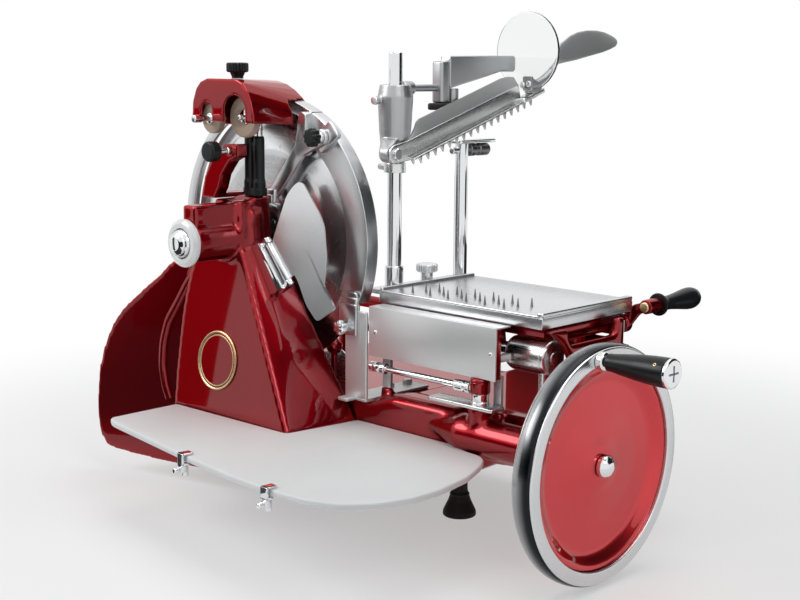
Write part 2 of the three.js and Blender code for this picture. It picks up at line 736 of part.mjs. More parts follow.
// Guide bar of the carriage with its end head and post, drive cover, splash plate and tie rod
add("guide_bar", rod("x", -42, 338, BAR_Y, BAR_Z, BAR_R), STEEL);
add(
  "guide_head",
  join(
    turned(
      "x",
      [[0, 52], [17, 52], [18.5, 50], [18.5, 4], [17, 0], [BAR_R + GAP, 0], [BAR_R + GAP, 3], [0, 3]],
      [336, BAR_Y, BAR_Z],
    ),
    rod("z", 146 + GAP, 204, 374, BAR_Y, 5, 5, 16),
    rod("z", 146 + GAP, 168, 374, BAR_Y, 6.4, 6.4, 16),
  ),
  CHROME,
);
add(
  "drive_cover",
  join(
    box(168, 350, -18, -16.4, 189, 244),
    box(168, 350, -18, 5, 242.4, 244),
    box(168, 169.6, -18, 4, 189, 244),
    box(340, 348, -17, 9, 207, 214).subtract(rod("x", 330, 370, BAR_Y, BAR_Z, 18.9)),
    box(172, 184, -17, 4, 189, 191),
    box(172, 184, 0, 4, 151 + GAP, 191),
    box(333, 343, -17, 4, 189, 191),
    box(333, 343, 0, 4, 151 + GAP, 191),
  ),
  WHITE,
);
add(
  "splash_plate",
  slabY([[12, 134.3], [90, 134.3], [90, 170], [80, 176], [16, 162]], 24.5, 26.5),
  WHITE,
);
add(
  "tie_rod",
  join(
    rod("x", 184, 322, LINK[1], LINK_Z + 16, 3.6, 3.6, 12),
    rod("x", 166, 190, LINK[1], LINK_Z + 16, 6, 6, 12),
    rod("x", 291, 313, LINK[1], LINK_Z + 16, 6.2, 6.2, 6),
    rod("z", LINK_Z + 12 + GAP, LINK_Z + 25, ...LINK, 10.5, 10.5, 32),
    box(172, 184, LINK[1] - 7, LINK[1] + 7, LINK_Z + 12, LINK_Z + 20),
  ).subtract(rod("z", LINK_Z, LINK_Z + 30, ...LINK, 4.06, 4.06, 16)),
  CHROME,
);
add(
  "tie_rod_pivot",
  join(
    rod("z", LINK_Z + GAP, LINK_Z + 12, ...LINK, 9.5, 9.5, 32),
    rod("z", LINK_Z + 5, LINK_Z + 27, ...LINK, 4, 4, 16),
    rod("z", LINK_Z + 25 + GAP, LINK_Z + 28.5, ...LINK, 10.5, 9, 32),
  ),
  RED,
);

// Carriage: a frame on two bushes and a rear shoe, with the feed screw's nut
const bushes = [[196, 222], [286, 312]].map(([a, b]) =>
  hull(rod("x", a, b, BAR_Y, BAR_Z, 15), box(a, b, BAR_Y - 12, BAR_Y + 12, 234, 236)),
);
const railRoom = join(
  rod("x", 100, 390, RAIL_Y, RAIL_Z, 6.3, 6.3, 12),
  box(100, 390, RAIL_Y - 6.3, RAIL_Y + 6.3, 200, RAIL_Z),
);
add(
  "carriage_frame",
  join(
    box(172, 386, 14, 156, 235.5, 242),
    ...bushes,
    box(186, 216, RAIL_Y - 10, RAIL_Y + 10, 207, 237).subtract(railRoom),
    box(320, 350, RAIL_Y - 10, RAIL_Y + 10, 207, 237).subtract(railRoom),
    box(SCREW_X - 10, SCREW_X + 10, RAIL_Y - 4, 156, 221.5, 237),
  ).subtract(
    join(
      rod("x", 150, 350, BAR_Y, BAR_Z, BAR_R + 0.08),
      rod("y", 0, 200, SCREW_X, SCREW_Z, 5.08),
      box(200, 350, 56, 124, 230, 250),
    ),
  ),
  RED,
);

// Meat table with lips and spikes, a ledge for the two posts
const { x0, x1, y0, y1, top, h } = TABLE;
const spikes = [];
for (let row = 0; row < 3; row++) {
  for (let i = 0; i < 6; i++) {
    const x = x0 + 40 + i * 26 + row * 8;
    const y = y0 + 12 + row * 13;
    spikes.push(rod("z", top - 2.5, top + 8, x, y, 1.9, 0.4, 4));
  }
}
const tableShell = box(x0, x1, y0, y1, top - h, top - 2).subtract(
  box(x0 + 2.5, x1 - 2.5, y0 + 2.5, y1 - 2.5, top - h - 1, top - 5),
);
add(
  "meat_table",
  join(
    tableShell,
    box(x0, x0 + 5, y0, y1, top - 4, top + 1),
    box(x1 - 8, x1, y0, y1, top - 4, top + 1),
    ...spikes,
    box(122, x0 + 1, 28, 184, top - 12, top - 6),
    box(SCREW_X - 8, SCREW_X + 8, y1 - 5, y1, SCREW_Z - 8, 250),
  ).subtract(
    join(
      rod("z", 230, 270, ...POST1, 5.3),
      rod("z", 230, 270, ...POST2, 5.3),
      rod("z", 230, 270, 143, 102, 4.4),
      rod("y", 100, 200, SCREW_X, SCREW_Z, 5.08),
    ),
  ),
  CHROME,
);
add(
  "front_post",
  join(
    rod("z", top - 6 + GAP, 519, ...POST1, POST_R),
    rod("z", top - 6 + GAP, 281, ...POST1, 10.3),
    rod("z", top - 14, top - 5, ...POST1, 5),
  ),
  CHROME,
);
add(
  "rear_post",
  join(
    rod("z", top - 6 + GAP, 415, ...POST2, POST_R),
    box(POST2[0] - 9, POST2[0] + 9, 156, 222, 413, 417.5),
    rod("y", 150, 182, POST2[0], 405, 4),
    turned("y", [[0, 179], [7, 179], [7.5, 181], [7.5, 190], [6, 191], [6, 195], [7.5, 196], [7.5, 212],
      [6.5, 214], [0, 214]], [POST2[0], 0, 405], 16),
    rod("z", top - 14, top - 5, ...POST2, 5),
  ),
  CHROME,
);
add(
  "fence_knob",
  join(
    fluted(12.5, 10, 12, 1.2).translate([143, 102, 267]),
    rod("z", top - 6 + GAP, 268, 143, 102, 7, 7, 16),
    rod("z", top - 14, top - 5, 143, 102, 4, 4, 16),
  ),
  STEEL,
);

// Feed crank: its screw turns in the table and runs through the carriage's nut
const [cx, cz] = CRANK;
add(
  "feed_crank",
  join(
    rod("y", 52, 176, SCREW_X, SCREW_Z, 5),
    rod("y", y1 + GAP, 176, SCREW_X, SCREW_Z, 10),
    hull(
      rod("y", 168.5, 174, SCREW_X, SCREW_Z, 9, 9, 16),
      rod("y", 168.5, 174, cx - 12, cz - 4, 6, 6, 16),
    ),
    hull(
      rod("y", 168.5, 178, cx - 12, cz - 4, 5.5, 5.5, 16),
      rod("y", 168.5, 178, cx, cz, 6, 6, 16),
    ),
    rod("y", 168.5, 192, cx, cz, 8),
  ).subtract(rod("y", 150, 200, cx, cz, 4.08)),
  RED,
);
add(
  "feed_grip",
  join(
    turned(
      "y",
      [[0, 192 + GAP], [12.5, 192 + GAP], [12.5, 195], [8.5, 199], [8, 212], [9.5, 230], [12, 250],
        [11.5, 260], [7, 267], [0, 269]],
      [cx, 0, cz],
    ),
    rod("y", 167, 194, cx, cz, 4),
    rod("y", y1 + GAP, 168.5 - GAP, cx, cz, 5.5),
  ),
  BLACK,
);

// Meat press: clamp on the front post, arm with its pad, hinged toothed plate, hand guard and lever
const [px, py] = POST1;
add(
  "post_collar",
  join(
    rod("z", 386, 397, px, py, 12.5),
    rod("x", px - 24, px - 10, py, 391.5, 4, 4, 12),
  ).subtract(rod("z", 380, 420, px, py, POST_R + 0.08)),
  STEEL,
);
add(
  "press_clamp",
  join(
    hull(rod("z", 470, 483, px, py, 20, 17.5), rod("z", 432, 436, px, py, 18)),
    hull(rod("z", 432, 436, px, py, 18), rod("z", 408, 410, px, py - 3, 13.5)),
    hull(rod("x", 152, PLATE_X - 5.4, ...PIVOT, 10), rod("z", 408, 424, px + 3, py - 10, 11, 11, 16)),
    rod("z", 397 + GAP, 412, px, py, 11.5, 13),
    rod("y", py + 10, py + 26, px, 479, 8, 8, 16),
    rod("y", py - 24, py - 14, px - 6, 466, 4, 4, 12),
  )
    .subtract(
      join(
        rod("z", 380, 500, px, py, POST_R + 0.08),
        rod("y", py + 12, py + 40, px, 479, 4.3),
      ),
    )
    .add(
      join(
        rod("x", 162, PLATE_X + 1, ...PIVOT, 4),
        rod("x", PLATE_X - 1 + GAP, PLATE_X + 3.5, ...PIVOT, 7, 6, 12),
      ),
    ),
  0x9a9d9f,
);
add(
  "press_arm",
  join(
    rod("y", py + 12 + GAP, 112, px, 479, 4),
    box(px - 8, px + 8, 110, 126, 462, 509),
    hull(box(px - 8, px + 8, 124, 128, 478, 515), box(px - 7, px + 7, 216, 220, 497, 516)),
    box(px - 7, px + 7, 218, DISC[1] - 2 - GAP, 497, 516),
    rod("z", 470, 482, px, 138, 4.5, 4.5, 16),
  ),
  0xa9acae,
);
add(
  "press_pad",
  slabZ(circle(0, 0, 24.5, 28).map(([x, y]) => [px + x * 0.47, 123.5 + y]), 454, 462 - GAP)
    .add(rod("z", 455, 470 - GAP, px, 138, 4.5, 4.5, 16)),
  BLACK,
);

// The plate is made along +Y from its pivot, then turned up to its slope
const PLATE_L = 222;
const teeth = [];
for (let i = 0; i < 17; i++) {
  for (const side of [0, 1]) {
    const y = 22 + i * 12.6 + side * 5;
    teeth.push(slabX([[y, -13], [y + 3.5, -21], [y + 7, -13]], side * 7, side * 7 + 2));
  }
}
const plate = join(
  box(0, 3, 14, PLATE_L, -14, 8),
  hull(rod("x", 0, 3, 0, 0, 10.5), box(0, 3, 20, 24, -14, 8)),
  hull(box(0, 3, 44, PLATE_L, 6, 8), box(-6.5, -4, 48, PLATE_L - 20, 20, 22)),
  hull(box(0, 3, 26, 44, 6, 8), box(-2, 0, 42, 46, 10, 12)),
  box(0, 9, 20, 238, -14, -11.5),
  box(-4, 10, PLATE_L - 4, 262, -14, -8),
  ...teeth,
).subtract(rod("x", -10, 20, 0, 0, 4.3));
const onPlate = (s) => s.rotate([PRESS_SLOPE, 0, 0]).translate([PLATE_X - 4, ...PIVOT]);
add("press_plate", onPlate(plate), 0x8f9698);
const [gx, gy, gz] = DISC;
add("hand_guard", rod("y", gy - 2, gy + 2, gx, gz, 47, 47, 48), 0xdfe8ea);
const paddle = [
  [310, 509, 528], [340, 512, 541], [372, 518, 548], [402, 523, 548], [424, 528, 544],
  [432, 533, 540],
];
add(
  "press_lever",
  join(
    onPlate(box(-4, 10, 237, 257, -8 + GAP, -4)),
    box(gx - 8, gx + 6, gy + 2 + GAP, gy + 6, 475, 492),
    hull(box(gx - 8, gx + 6, 261, 267, 477.4, 480), box(gx - 8, gx + 6, 290, 298, 496, 502)),
    hull(
      box(gx - 3, gx + 3, 290, 296, 496, 508),
      ...paddle.map(([y, z0, z1]) =>
        hull(box(gx - 1, gx + 2, y - 1, y, z0, z0 + 1), box(gx - 10, gx - 8, y - 1, y, z1 - 1, z1)),
      ),
    ),
  ),
  0x8f9698,
);

export default root;
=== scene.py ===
# %% [markdown]
# # A hand crank meat slicer, piece by piece
# The real machine is a red cast body that carries a round knife, a flywheel with a crank grip, a
# sliding meat table and a press on two posts. The CAD model fixes every size and every joint. This
# lesson gives each piece its rounded edges and its finish, and lights it like a product picture.

# %% Start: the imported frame
import json

import bmesh
import bpy
import numpy as np
from mathutils import Matrix


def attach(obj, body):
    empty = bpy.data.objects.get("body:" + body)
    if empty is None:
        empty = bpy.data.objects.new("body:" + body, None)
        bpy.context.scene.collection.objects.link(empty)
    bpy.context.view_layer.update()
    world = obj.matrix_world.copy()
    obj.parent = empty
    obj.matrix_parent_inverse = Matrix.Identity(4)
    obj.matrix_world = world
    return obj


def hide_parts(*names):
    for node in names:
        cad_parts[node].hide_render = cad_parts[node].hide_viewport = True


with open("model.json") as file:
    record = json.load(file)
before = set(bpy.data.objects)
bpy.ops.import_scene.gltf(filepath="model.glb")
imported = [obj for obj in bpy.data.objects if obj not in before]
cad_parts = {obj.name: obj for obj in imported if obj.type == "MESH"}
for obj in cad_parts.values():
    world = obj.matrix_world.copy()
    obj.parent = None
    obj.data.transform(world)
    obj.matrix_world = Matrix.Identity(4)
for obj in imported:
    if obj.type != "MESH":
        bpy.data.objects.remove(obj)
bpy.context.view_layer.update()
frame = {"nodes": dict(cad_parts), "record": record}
BODY_OF = {n: b for b, members in frame["record"]["behaviour"]["bodies"].items() for n in members}

# %% [markdown]
# ## Where things are
# The CAD source measures from the blade: x = 0 and y = 0 are the blade's axis and cutting plane,
# in millimetres. Blender works in metres from the frame's origin. One shift and one factor turn
# the first into the second, so every number below can be checked on a drawing of the slicer.

# %% Places and directions
SHIFT = np.array([-174.5, -83.13, 0.0])
BLADE = (0, 0, 308)
WHEEL = (480, -2, 124)
AXES = {"x": (1, 0, 0), "y": (0, 1, 0), "z": (0, 0, 1)}


def placed(points):
    """Machine millimetres to frame metres: (point + shift) / 1000."""
    return (np.asarray(points, float) + SHIFT) * 0.001


def unit(vectors):
    """The same directions at length 1."""
    return vectors / np.linalg.norm(vectors, axis=-1, keepdims=True)


def basis(direction):
    """Unit direction d and two unit vectors u and v square to it, with u x v = d."""
    d = unit(np.asarray(AXES[direction] if isinstance(direction, str) else direction, float))
    start = np.array([0, 0, 1.0]) if abs(d[2]) < 0.9 else np.array([1.0, 0, 0])
    u = unit(start - d * (start @ d))
    return d, u, np.cross(d, u)


def circle(angles):
    """Points (cos a, sin a) for angles in radians."""
    return np.stack([np.cos(angles), np.sin(angles)], -1)


def place_object(name, data):
    """A new object of the scene for a mesh, a lamp or a camera."""
    made = bpy.data.objects.new(name, data)
    bpy.context.scene.collection.objects.link(made)
    return made


print("the blade's axis is at", placed(BLADE))

# %% [markdown]
# ## Four ways to a surface
# Nearly all of the slicer is turned, bent or cut from plate. So four small functions make almost
# every piece: a profile round an axis, a section along a path, an outline through a thickness, and
# a row of sections. Each one works out a whole grid of points at once with numpy.

# %% Skins: faces for a grid of points
def skin(grid, loop=False, lids=True):
    """Faces of a grid whose rows are closed: point (i, j) joins (i, j+1), (i+1, j+1) and (i+1, j).
    loop joins the last row to the first one, and lids fills both of these rows."""
    rows, cols = grid.shape[:2]
    i = np.arange(rows if loop else rows - 1)[:, None]
    j = np.arange(cols)[None, :]
    down, right = (i + 1) % rows, (j + 1) % cols
    quads = np.stack([i * cols + j, i * cols + right, down * cols + right, down * cols + j], -1)
    faces = quads.reshape(-1, 4).tolist()
    if lids and not loop:
        faces += [list(range(cols)), list(range((rows - 1) * cols, rows * cols))]
    return grid.reshape(-1, 3), faces


def soften(points, reach, steps=4, closed=False):
    """Rounds each corner P: the curve (1-t)^2 A + 2t(1-t) P + t^2 B runs between A and B, the points
    at the distance reach from P on its two edges."""
    p = np.asarray(points, float)
    back, on = np.roll(p, 1, 0) - p, np.roll(p, -1, 0) - p
    lengths = np.linalg.norm(back, axis=1), np.linalg.norm(on, axis=1)
    cut = np.minimum(reach, 0.45 * np.minimum(*lengths))[:, None]
    a = p + back / np.maximum(lengths[0], 1e-9)[:, None] * cut
    b = p + on / np.maximum(lengths[1], 1e-9)[:, None] * cut
    t = np.linspace(0, 1, steps + 1)[None, :, None]
    curve = (1 - t) ** 2 * a[:, None] + 2 * t * (1 - t) * p[:, None] + t**2 * b[:, None]
    if closed:
        return curve.reshape(-1, p.shape[1])
    return np.concatenate([p[:1], curve[1:-1].reshape(-1, p.shape[1]), p[-1:]])


# %% Turned shapes
def turned(axis, profile, at, reach=0.6, sides=72, flutes=(0, 0, 0), ring=True):
    """A profile of (radius, place) pairs carried round an axis: point = at + place d + radius
    (cos a u + sin a v). ring closes the profile on itself. flutes is (count, depth, above): each
    radius over above gets count hollows, radius - depth * (1 - cos(count a))^2 / 4."""
    line = soften(profile, reach, closed=ring) if reach else np.asarray(profile, float)
    d, u, v = basis(axis)
    a = np.linspace(0, 2 * np.pi, sides, endpoint=False)
    count, depth, above = flutes
    radius = line[:, :1] - (line[:, :1] > above) * depth * ((1 - np.cos(count * a)) / 2) ** 2
    round_about = np.cos(a)[:, None] * u + np.sin(a)[:, None] * v
    grid = np.asarray(at, float) + line[:, 1][:, None, None] * d + radius[..., None] * round_about
    return skin(grid, loop=ring)


def solid(axis, profile, at, reach=0.3, sides=32, flutes=(0, 0, 0)):
    """A turned shape without a bore: the profile goes on to the axis at both of its ends."""
    ends = [[(0, place)] if radius else [] for radius, place in (profile[0], profile[-1])]
    return turned(axis, [*ends[0], *profile, *ends[1]], at, reach, sides, flutes, ring=False)


def rod(axis, radius, start, end, at, sides=32, reach=0.3):
    """A plain round bar from start to end along the axis."""
    return solid(axis, [(radius, start), (radius, end)], at, reach, sides)


# %% Plates
def plate(outline, plane, low, high, edge=0.8, corner=2.0):
    """An outline carried from low to high across its plane. Near both faces it is drawn in by
    edge * (1 - sin q) while it climbs edge * (1 - cos q), so that its rim is a quarter round."""
    p = soften(outline, corner, 3, closed=True) if corner else np.asarray(outline, float)
    along = np.roll(p, -1, 0) - p
    if np.sum(p[:, 0] * along[:, 1] - p[:, 1] * along[:, 0]) < 0:
        p = p[::-1]
        along = np.roll(p, -1, 0) - p
    side = unit(np.stack([along[:, 1], -along[:, 0]], 1))
    mean = unit(side + np.roll(side, 1, 0))
    mean = mean / np.clip(np.sum(mean * side, 1), 0.5, 1)[:, None]
    edge = min(edge, 0.45 * (high - low))
    q = np.linspace(0, np.pi / 2, 4)
    inset = edge * (1 - np.sin(q))
    climb = edge * (1 - np.cos(q))
    inset = np.concatenate([inset, inset[::-1]])
    level = np.concatenate([low + climb, high - climb[::-1]])
    flat = p[None] - mean[None] * inset[:, None, None]
    height = np.broadcast_to(level[:, None], flat.shape[:2])
    order = {"xy": (0, 1, 2), "xz": (0, 2, 1), "yz": (2, 0, 1)}[plane]
    stack = [flat[..., 0], flat[..., 1], height]
    return skin(np.stack([stack[k] for k in order], -1))


def block(x0, x1, y0, y1, z0, z1, edge=0.8, corner=1.2):
    """A plate on a rectangle: a box with round edges."""
    return plate([[x0, y0], [x1, y0], [x1, y1], [x0, y1]], "xy", z0, z1, edge, corner)


def pill(p, q, rp, rq):
    """The outline of a link between two eyes: half a circle about p and half a circle about q."""
    p, q = np.asarray(p, float), np.asarray(q, float)
    lean = np.arctan2(*(q - p)[::-1])
    near = lean + np.linspace(np.pi / 2, 1.5 * np.pi, 14)
    far = lean + np.linspace(-np.pi / 2, np.pi / 2, 14)
    return np.concatenate([p + rp * circle(near), q + rq * circle(far)])


# %% Arcs, tubes and lofts
def arc(section, start, end):
    """A closed section of (radius, y) pairs carried round the blade's axis from start to end
    degrees, a step every 2 degrees: x = r cos a, z = blade height + r sin a."""
    s = soften(section, 0.7, 3, closed=True)
    a = np.radians(np.linspace(start, end, int(abs(end - start) / 2) + 2))[:, None]
    r, y = s[None, :, 0], s[None, :, 1]
    depth = np.broadcast_to(y, (len(a), len(s)))
    return skin(np.stack([r * np.cos(a), depth, BLADE[2] + r * np.sin(a)], -1))


def tube(path, radius, sides=20, up=(0, 0, 1)):
    """A circle carried along a path: point = path + radius (cos a side + sin a over), where side
    is square to the path and to up."""
    path = np.asarray(path, float)
    t = unit(np.gradient(path, axis=0))
    side = unit(np.cross(t, up))
    over = np.cross(side, t)
    a = np.linspace(0, 2 * np.pi, sides, endpoint=False)[None, :, None]
    r = np.broadcast_to(np.asarray(radius, float), (len(path),))[:, None, None]
    return skin(path[:, None] + r * (np.cos(a) * side[:, None] + np.sin(a) * over[:, None]))


def loft(sections):
    """Sections with equally many points, joined in a row and closed at both ends."""
    return skin(np.asarray(sections, float))


# %% Moving surfaces
def moved(parts, degrees, at, about=2):
    """Turns surfaces by an angle about X (0) or Z (2), then moves them to at."""
    c, s = np.cos(np.radians(degrees)), np.sin(np.radians(degrees))
    i, j = (about + 1) % 3, (about + 2) % 3
    turn = np.eye(3)
    turn[[i, i, j, j], [i, j, i, j]] = c, s, -s, c
    return [(verts @ turn + np.asarray(at, float), faces) for verts, faces in parts]


print("surfaces: turned, solid, rod, plate, arc, tube and loft")

# %% [markdown]
# ## From surface to piece
# A piece is one or more closed surfaces in one mesh. Points that fall together are merged, faces
# are turned outwards, and only edges sharper than a given angle stay sharp, because a polished edge
# must shade smoothly round its fillet. A casting is different: its CAD solid is right but hard
# edged, so a copy is remeshed in small cubes and smoothed, as sand casting rounds a real corner.

# %% Making pieces
FINISH = {}
TOUCHING = 2e-6
PIECE_CREASE, CAST_CREASE, MILLED_CREASE = 34, 60, 32


def edit_mesh(mesh, change):
    """Lets change work on the mesh's points, edges and faces."""
    bm = bmesh.new()
    bm.from_mesh(mesh)
    change(bm)
    bm.to_mesh(mesh)
    bm.free()


def dress(thing, finish, nodes, body, crease):
    """Puts a finished piece on its body, in place of the CAD nodes it stands for. Edges
    over crease degrees stay sharp."""
    thing.data.shade_smooth()
    thing.data.set_sharp_from_angle(angle=np.radians(crease))
    thing.data.materials.clear()
    thing.data.materials.append(FINISH[finish])
    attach(thing, body or BODY_OF[nodes[0]])
    if nodes:
        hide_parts(*nodes)
    print(f"{thing.name}: {len(thing.data.polygons)} faces, {finish}")


def piece(name, parts, finish, *nodes, body=None):
    """Joins closed surfaces into one object, in frame metres."""
    points, faces, base = [], [], 0
    for verts, quads in parts:
        points.append(placed(verts))
        faces += [[base + k for k in f] for f in quads]
        base += len(verts)
    mesh = bpy.data.meshes.new(name)
    mesh.from_pydata(np.concatenate(points).tolist(), [], faces)

    def clean(bm):
        bmesh.ops.remove_doubles(bm, verts=bm.verts, dist=TOUCHING)
        bmesh.ops.dissolve_degenerate(bm, edges=bm.edges, dist=TOUCHING / 20)
        bmesh.ops.recalc_face_normals(bm, faces=bm.faces)

    edit_mesh(mesh, clean)
    dress(place_object(name, mesh), finish, nodes, body, PIECE_CREASE)


def merged_copy(name, node):
    """A copy of a CAD solid with its loose triangles joined where their corners meet."""
    mesh = frame["nodes"][node].data.copy()
    edit_mesh(mesh, lambda bm: bmesh.ops.remove_doubles(bm, verts=bm.verts, dist=TOUCHING / 2))
    return place_object(name, mesh)


def settle(thing):
    """Takes the mesh that the modifiers make as the piece's own."""
    graph = bpy.context.evaluated_depsgraph_get()
    done = bpy.data.meshes.new_from_object(thing.evaluated_get(graph))
    thing.modifiers.clear()
    thing.data = done


def cast(name, node, finish, cube, rounds):
    """A CAD solid as sand casting leaves it: cut again into cubes of side cube (mm), then each
    point moved half way to the mean of its neighbours, rounds times."""
    thing = merged_copy(name, node)
    remesh = thing.modifiers.new("small cubes", "REMESH")
    remesh.mode = "VOXEL"
    remesh.voxel_size = cube * 0.001
    soft = thing.modifiers.new("fillets", "SMOOTH")
    soft.factor = 0.5
    soft.iterations = rounds
    settle(thing)
    dress(thing, finish, (node,), None, CAST_CREASE)


def milled(name, node, finish, width):
    """A CAD solid as milling leaves it: flat faces joined, and edges over 35 degrees broken by width
    (mm)."""
    thing = merged_copy(name, node)
    edit_mesh(thing.data, lambda bm: bmesh.ops.dissolve_limit(
        bm, angle_limit=0.004, verts=bm.verts, edges=bm.edges))
    edge = thing.modifiers.new("broken edges", "BEVEL")
    edge.width = width * 0.001
    edge.segments = 2
    edge.limit_method = "ANGLE"
    edge.angle_limit = np.radians(35)
    settle(thing)
    dress(thing, finish, (node,), None, MILLED_CREASE)


print("pieces: piece, cast and milled")

# %% [markdown]
# ## Effects that several finishes share
# Real surfaces are never one flat colour. Four effects come back in most of the finishes: a fine
# grain that breaks up the gloss, lines left by turning or brushing, sparse scratches, and dust that
# settles on what faces up. Each is a node group with named inputs, so every material can set it.

# %% Node helpers
def feed(tree, value, socket):
    """Links a socket to a socket, or sets its number, vector or colour."""
    if isinstance(value, bpy.types.NodeSocket):
        tree.links.new(value, socket)
    elif socket.type == "RGBA":
        socket.default_value = (*value[:3], 1.0)
    else:
        socket.default_value = value


def add_node(tree, kind, *feeds, **settings):
    """A node with its settings; a name that isn't a property of the node is that of an input, with
    _ for a space. feeds go to the first inputs in order."""
    made = tree.nodes.new("ShaderNode" + kind)
    for key, value in settings.items():
        if hasattr(made, key):
            setattr(made, key, value)
        else:
            feed(tree, value, made.inputs[key.replace("_", " ")])
    for socket, value in zip(made.inputs, feeds):
        feed(tree, value, socket)
    return made


def math_node(tree, operation, *values):
    """One arithmetic step on sockets or numbers; returns its output."""
    return add_node(tree, "Math", *values, operation=operation).outputs[0]


def vector_node(tree, operation, *values, **settings):
    """One step on vectors; its outputs are the vector first and the number second."""
    return add_node(tree, "VectorMath", *values, operation=operation, **settings).outputs


def noise_node(tree, point, **settings):
    """Noise at a point, about 0.5 on average."""
    return add_node(tree, "TexNoise", point, **settings).outputs["Fac"]


def new_group(name, outputs, **inputs):
    """An empty shader group: its inputs have the defaults given, and its outputs are numbers."""
    tree = bpy.data.node_groups.new(name, "ShaderNodeTree")
    for label, default in inputs.items():
        kind = "NodeSocketVector" if isinstance(default, tuple) else "NodeSocketFloat"
        tree.interface.new_socket(label, in_out="INPUT", socket_type=kind).default_value = default
    for label in outputs:
        tree.interface.new_socket(label, in_out="OUTPUT", socket_type="NodeSocketFloat")
    return tree, tree.nodes.new("NodeGroupInput").outputs, tree.nodes.new("NodeGroupOutput").inputs


def object_point(tree):
    """The surface point in the frame's own metres."""
    return tree.nodes.new("ShaderNodeTexCoord").outputs["Object"]


# %% Effect: grain
def make_grain():
    """Height is fine noise and Cloud is broad noise. Roughness = Base + Spread * (0.4 Height +
    0.6 Cloud - 0.3)."""
    tree, given, out = new_group(
        "grain", ("Height", "Roughness", "Cloud"), Size=900.0, Base=0.3, Spread=0.1
    )
    point = object_point(tree)
    fine = noise_node(tree, point, Scale=given["Size"], Detail=3.0)
    broad = noise_node(tree, point, Scale=14.0, Detail=2.0)
    mixed = math_node(tree, "MULTIPLY_ADD", broad, 0.6, -0.3)
    mixed = math_node(tree, "MULTIPLY_ADD", fine, 0.4, mixed)
    feed(tree, fine, out["Height"])
    feed(tree, math_node(tree, "MULTIPLY_ADD", mixed, given["Spread"], given["Base"]), out["Roughness"])
    feed(tree, broad, out["Cloud"])
    return tree


# %% Effect: turning marks
def make_turning():
    """Rings round an axis: distance r = |p - (p . Axis) Axis| with p from Centre, then noise along
    (r, p . Axis) at Lines per metre."""
    tree, given, out = new_group(
        "turning marks", ("Lines",), Centre=(0, 0, 0), Axis=(0, 0, 1), Lines=1500.0
    )
    away = vector_node(tree, "SUBTRACT", object_point(tree), given["Centre"])[0]
    along = vector_node(tree, "DOT_PRODUCT", away, given["Axis"])["Value"]
    back = vector_node(tree, "SCALE", given["Axis"], Scale=along)[0]
    flat = vector_node(tree, "SUBTRACT", away, back)[0]
    place = add_node(tree, "CombineXYZ", vector_node(tree, "LENGTH", flat)["Value"], along).outputs[0]
    feed(tree, noise_node(tree, place, Scale=given["Lines"], Detail=2.0), out["Lines"])
    return tree


# %% Effect: brushing along one direction
def make_brushing():
    """Long lines: noise of the point after each axis is multiplied by Stretch, so that a small
    factor draws the noise out along that axis."""
    tree, given, out = new_group("brushing", ("Lines",), Stretch=(40, 1500, 1500))
    wide = vector_node(tree, "MULTIPLY", object_point(tree), given["Stretch"])[0]
    feed(tree, noise_node(tree, wide, Scale=1.0, Detail=2.0), out["Lines"])
    return tree


# %% Effect: scratches and dust
def make_scratches():
    """Sparse hairlines: where a warped noise is within Width of its own middle, but only where a
    broader noise is over 0.56."""
    tree, given, out = new_group("scratches", ("Mask",), Size=60.0, Width=0.004)
    point = object_point(tree)
    noise = noise_node(tree, point, Scale=given["Size"], Detail=0.0, Distortion=1.2)
    gap = math_node(tree, "ABSOLUTE", math_node(tree, "SUBTRACT", noise, 0.5))
    line = math_node(tree, "LESS_THAN", gap, given["Width"])
    some = math_node(tree, "GREATER_THAN", noise_node(tree, point, Scale=45.0, Detail=1.0), 0.56)
    feed(tree, math_node(tree, "MULTIPLY", line, some), out["Mask"])
    return tree


def make_dust():
    """Dust on what faces up: the normal's height to the sixth power, times noise, times Amount."""
    tree, given, out = new_group("dust", ("Mask",), Amount=0.1)
    normal = tree.nodes.new("ShaderNodeNewGeometry").outputs["Normal"]
    up = math_node(tree, "MAXIMUM", add_node(tree, "SeparateXYZ", normal).outputs["Z"], 0.0)
    noise = noise_node(tree, object_point(tree), Scale=120.0, Detail=4.0)
    spots = math_node(tree, "MULTIPLY", math_node(tree, "POWER", up, 6.0), noise)
    feed(tree, math_node(tree, "MULTIPLY", spots, given["Amount"]), out["Mask"])
    return tree


GRAIN, TURNING, BRUSHING = make_grain(), make_turning(), make_brushing()
SCRATCHES, DUST = make_scratches(), make_dust()
print("effects:", [g.name for g in bpy.data.node_groups])

# %% [markdown]
# ## Finishes
# One Principled shader carries each finish. Constant gloss values sit on its own sockets. What
# changes over the surface comes from the effects: colour from the broad cloud and the dust, gloss
# from the grain, and a very small bump from the marks.

# %% A finish from its parts
DUST_TONE = (0.62, 0.60, 0.57)


def new_material(name):
    """A material, its node tree and the tree's Principled shader."""
    material = bpy.data.materials.new(name)
    material.use_nodes = True
    return material, material.node_tree, material.node_tree.nodes["Principled BSDF"]


def mix_colour(tree, mask, low, high):
    """Colour between low and high by a mask; each is a colour or a socket."""
    return add_node(tree, "Mix", data_type="RGBA", Factor=mask, A=low, B=high).outputs["Result"]


def lay_over(material, mask, colour):
    """Mixes a colour by a mask over what feeds the material's base colour."""
    tree = material.node_tree
    base = tree.nodes["Principled BSDF"].inputs["Base Color"]
    feed(tree, mix_colour(tree, mask, base.links[0].from_socket, colour), base)


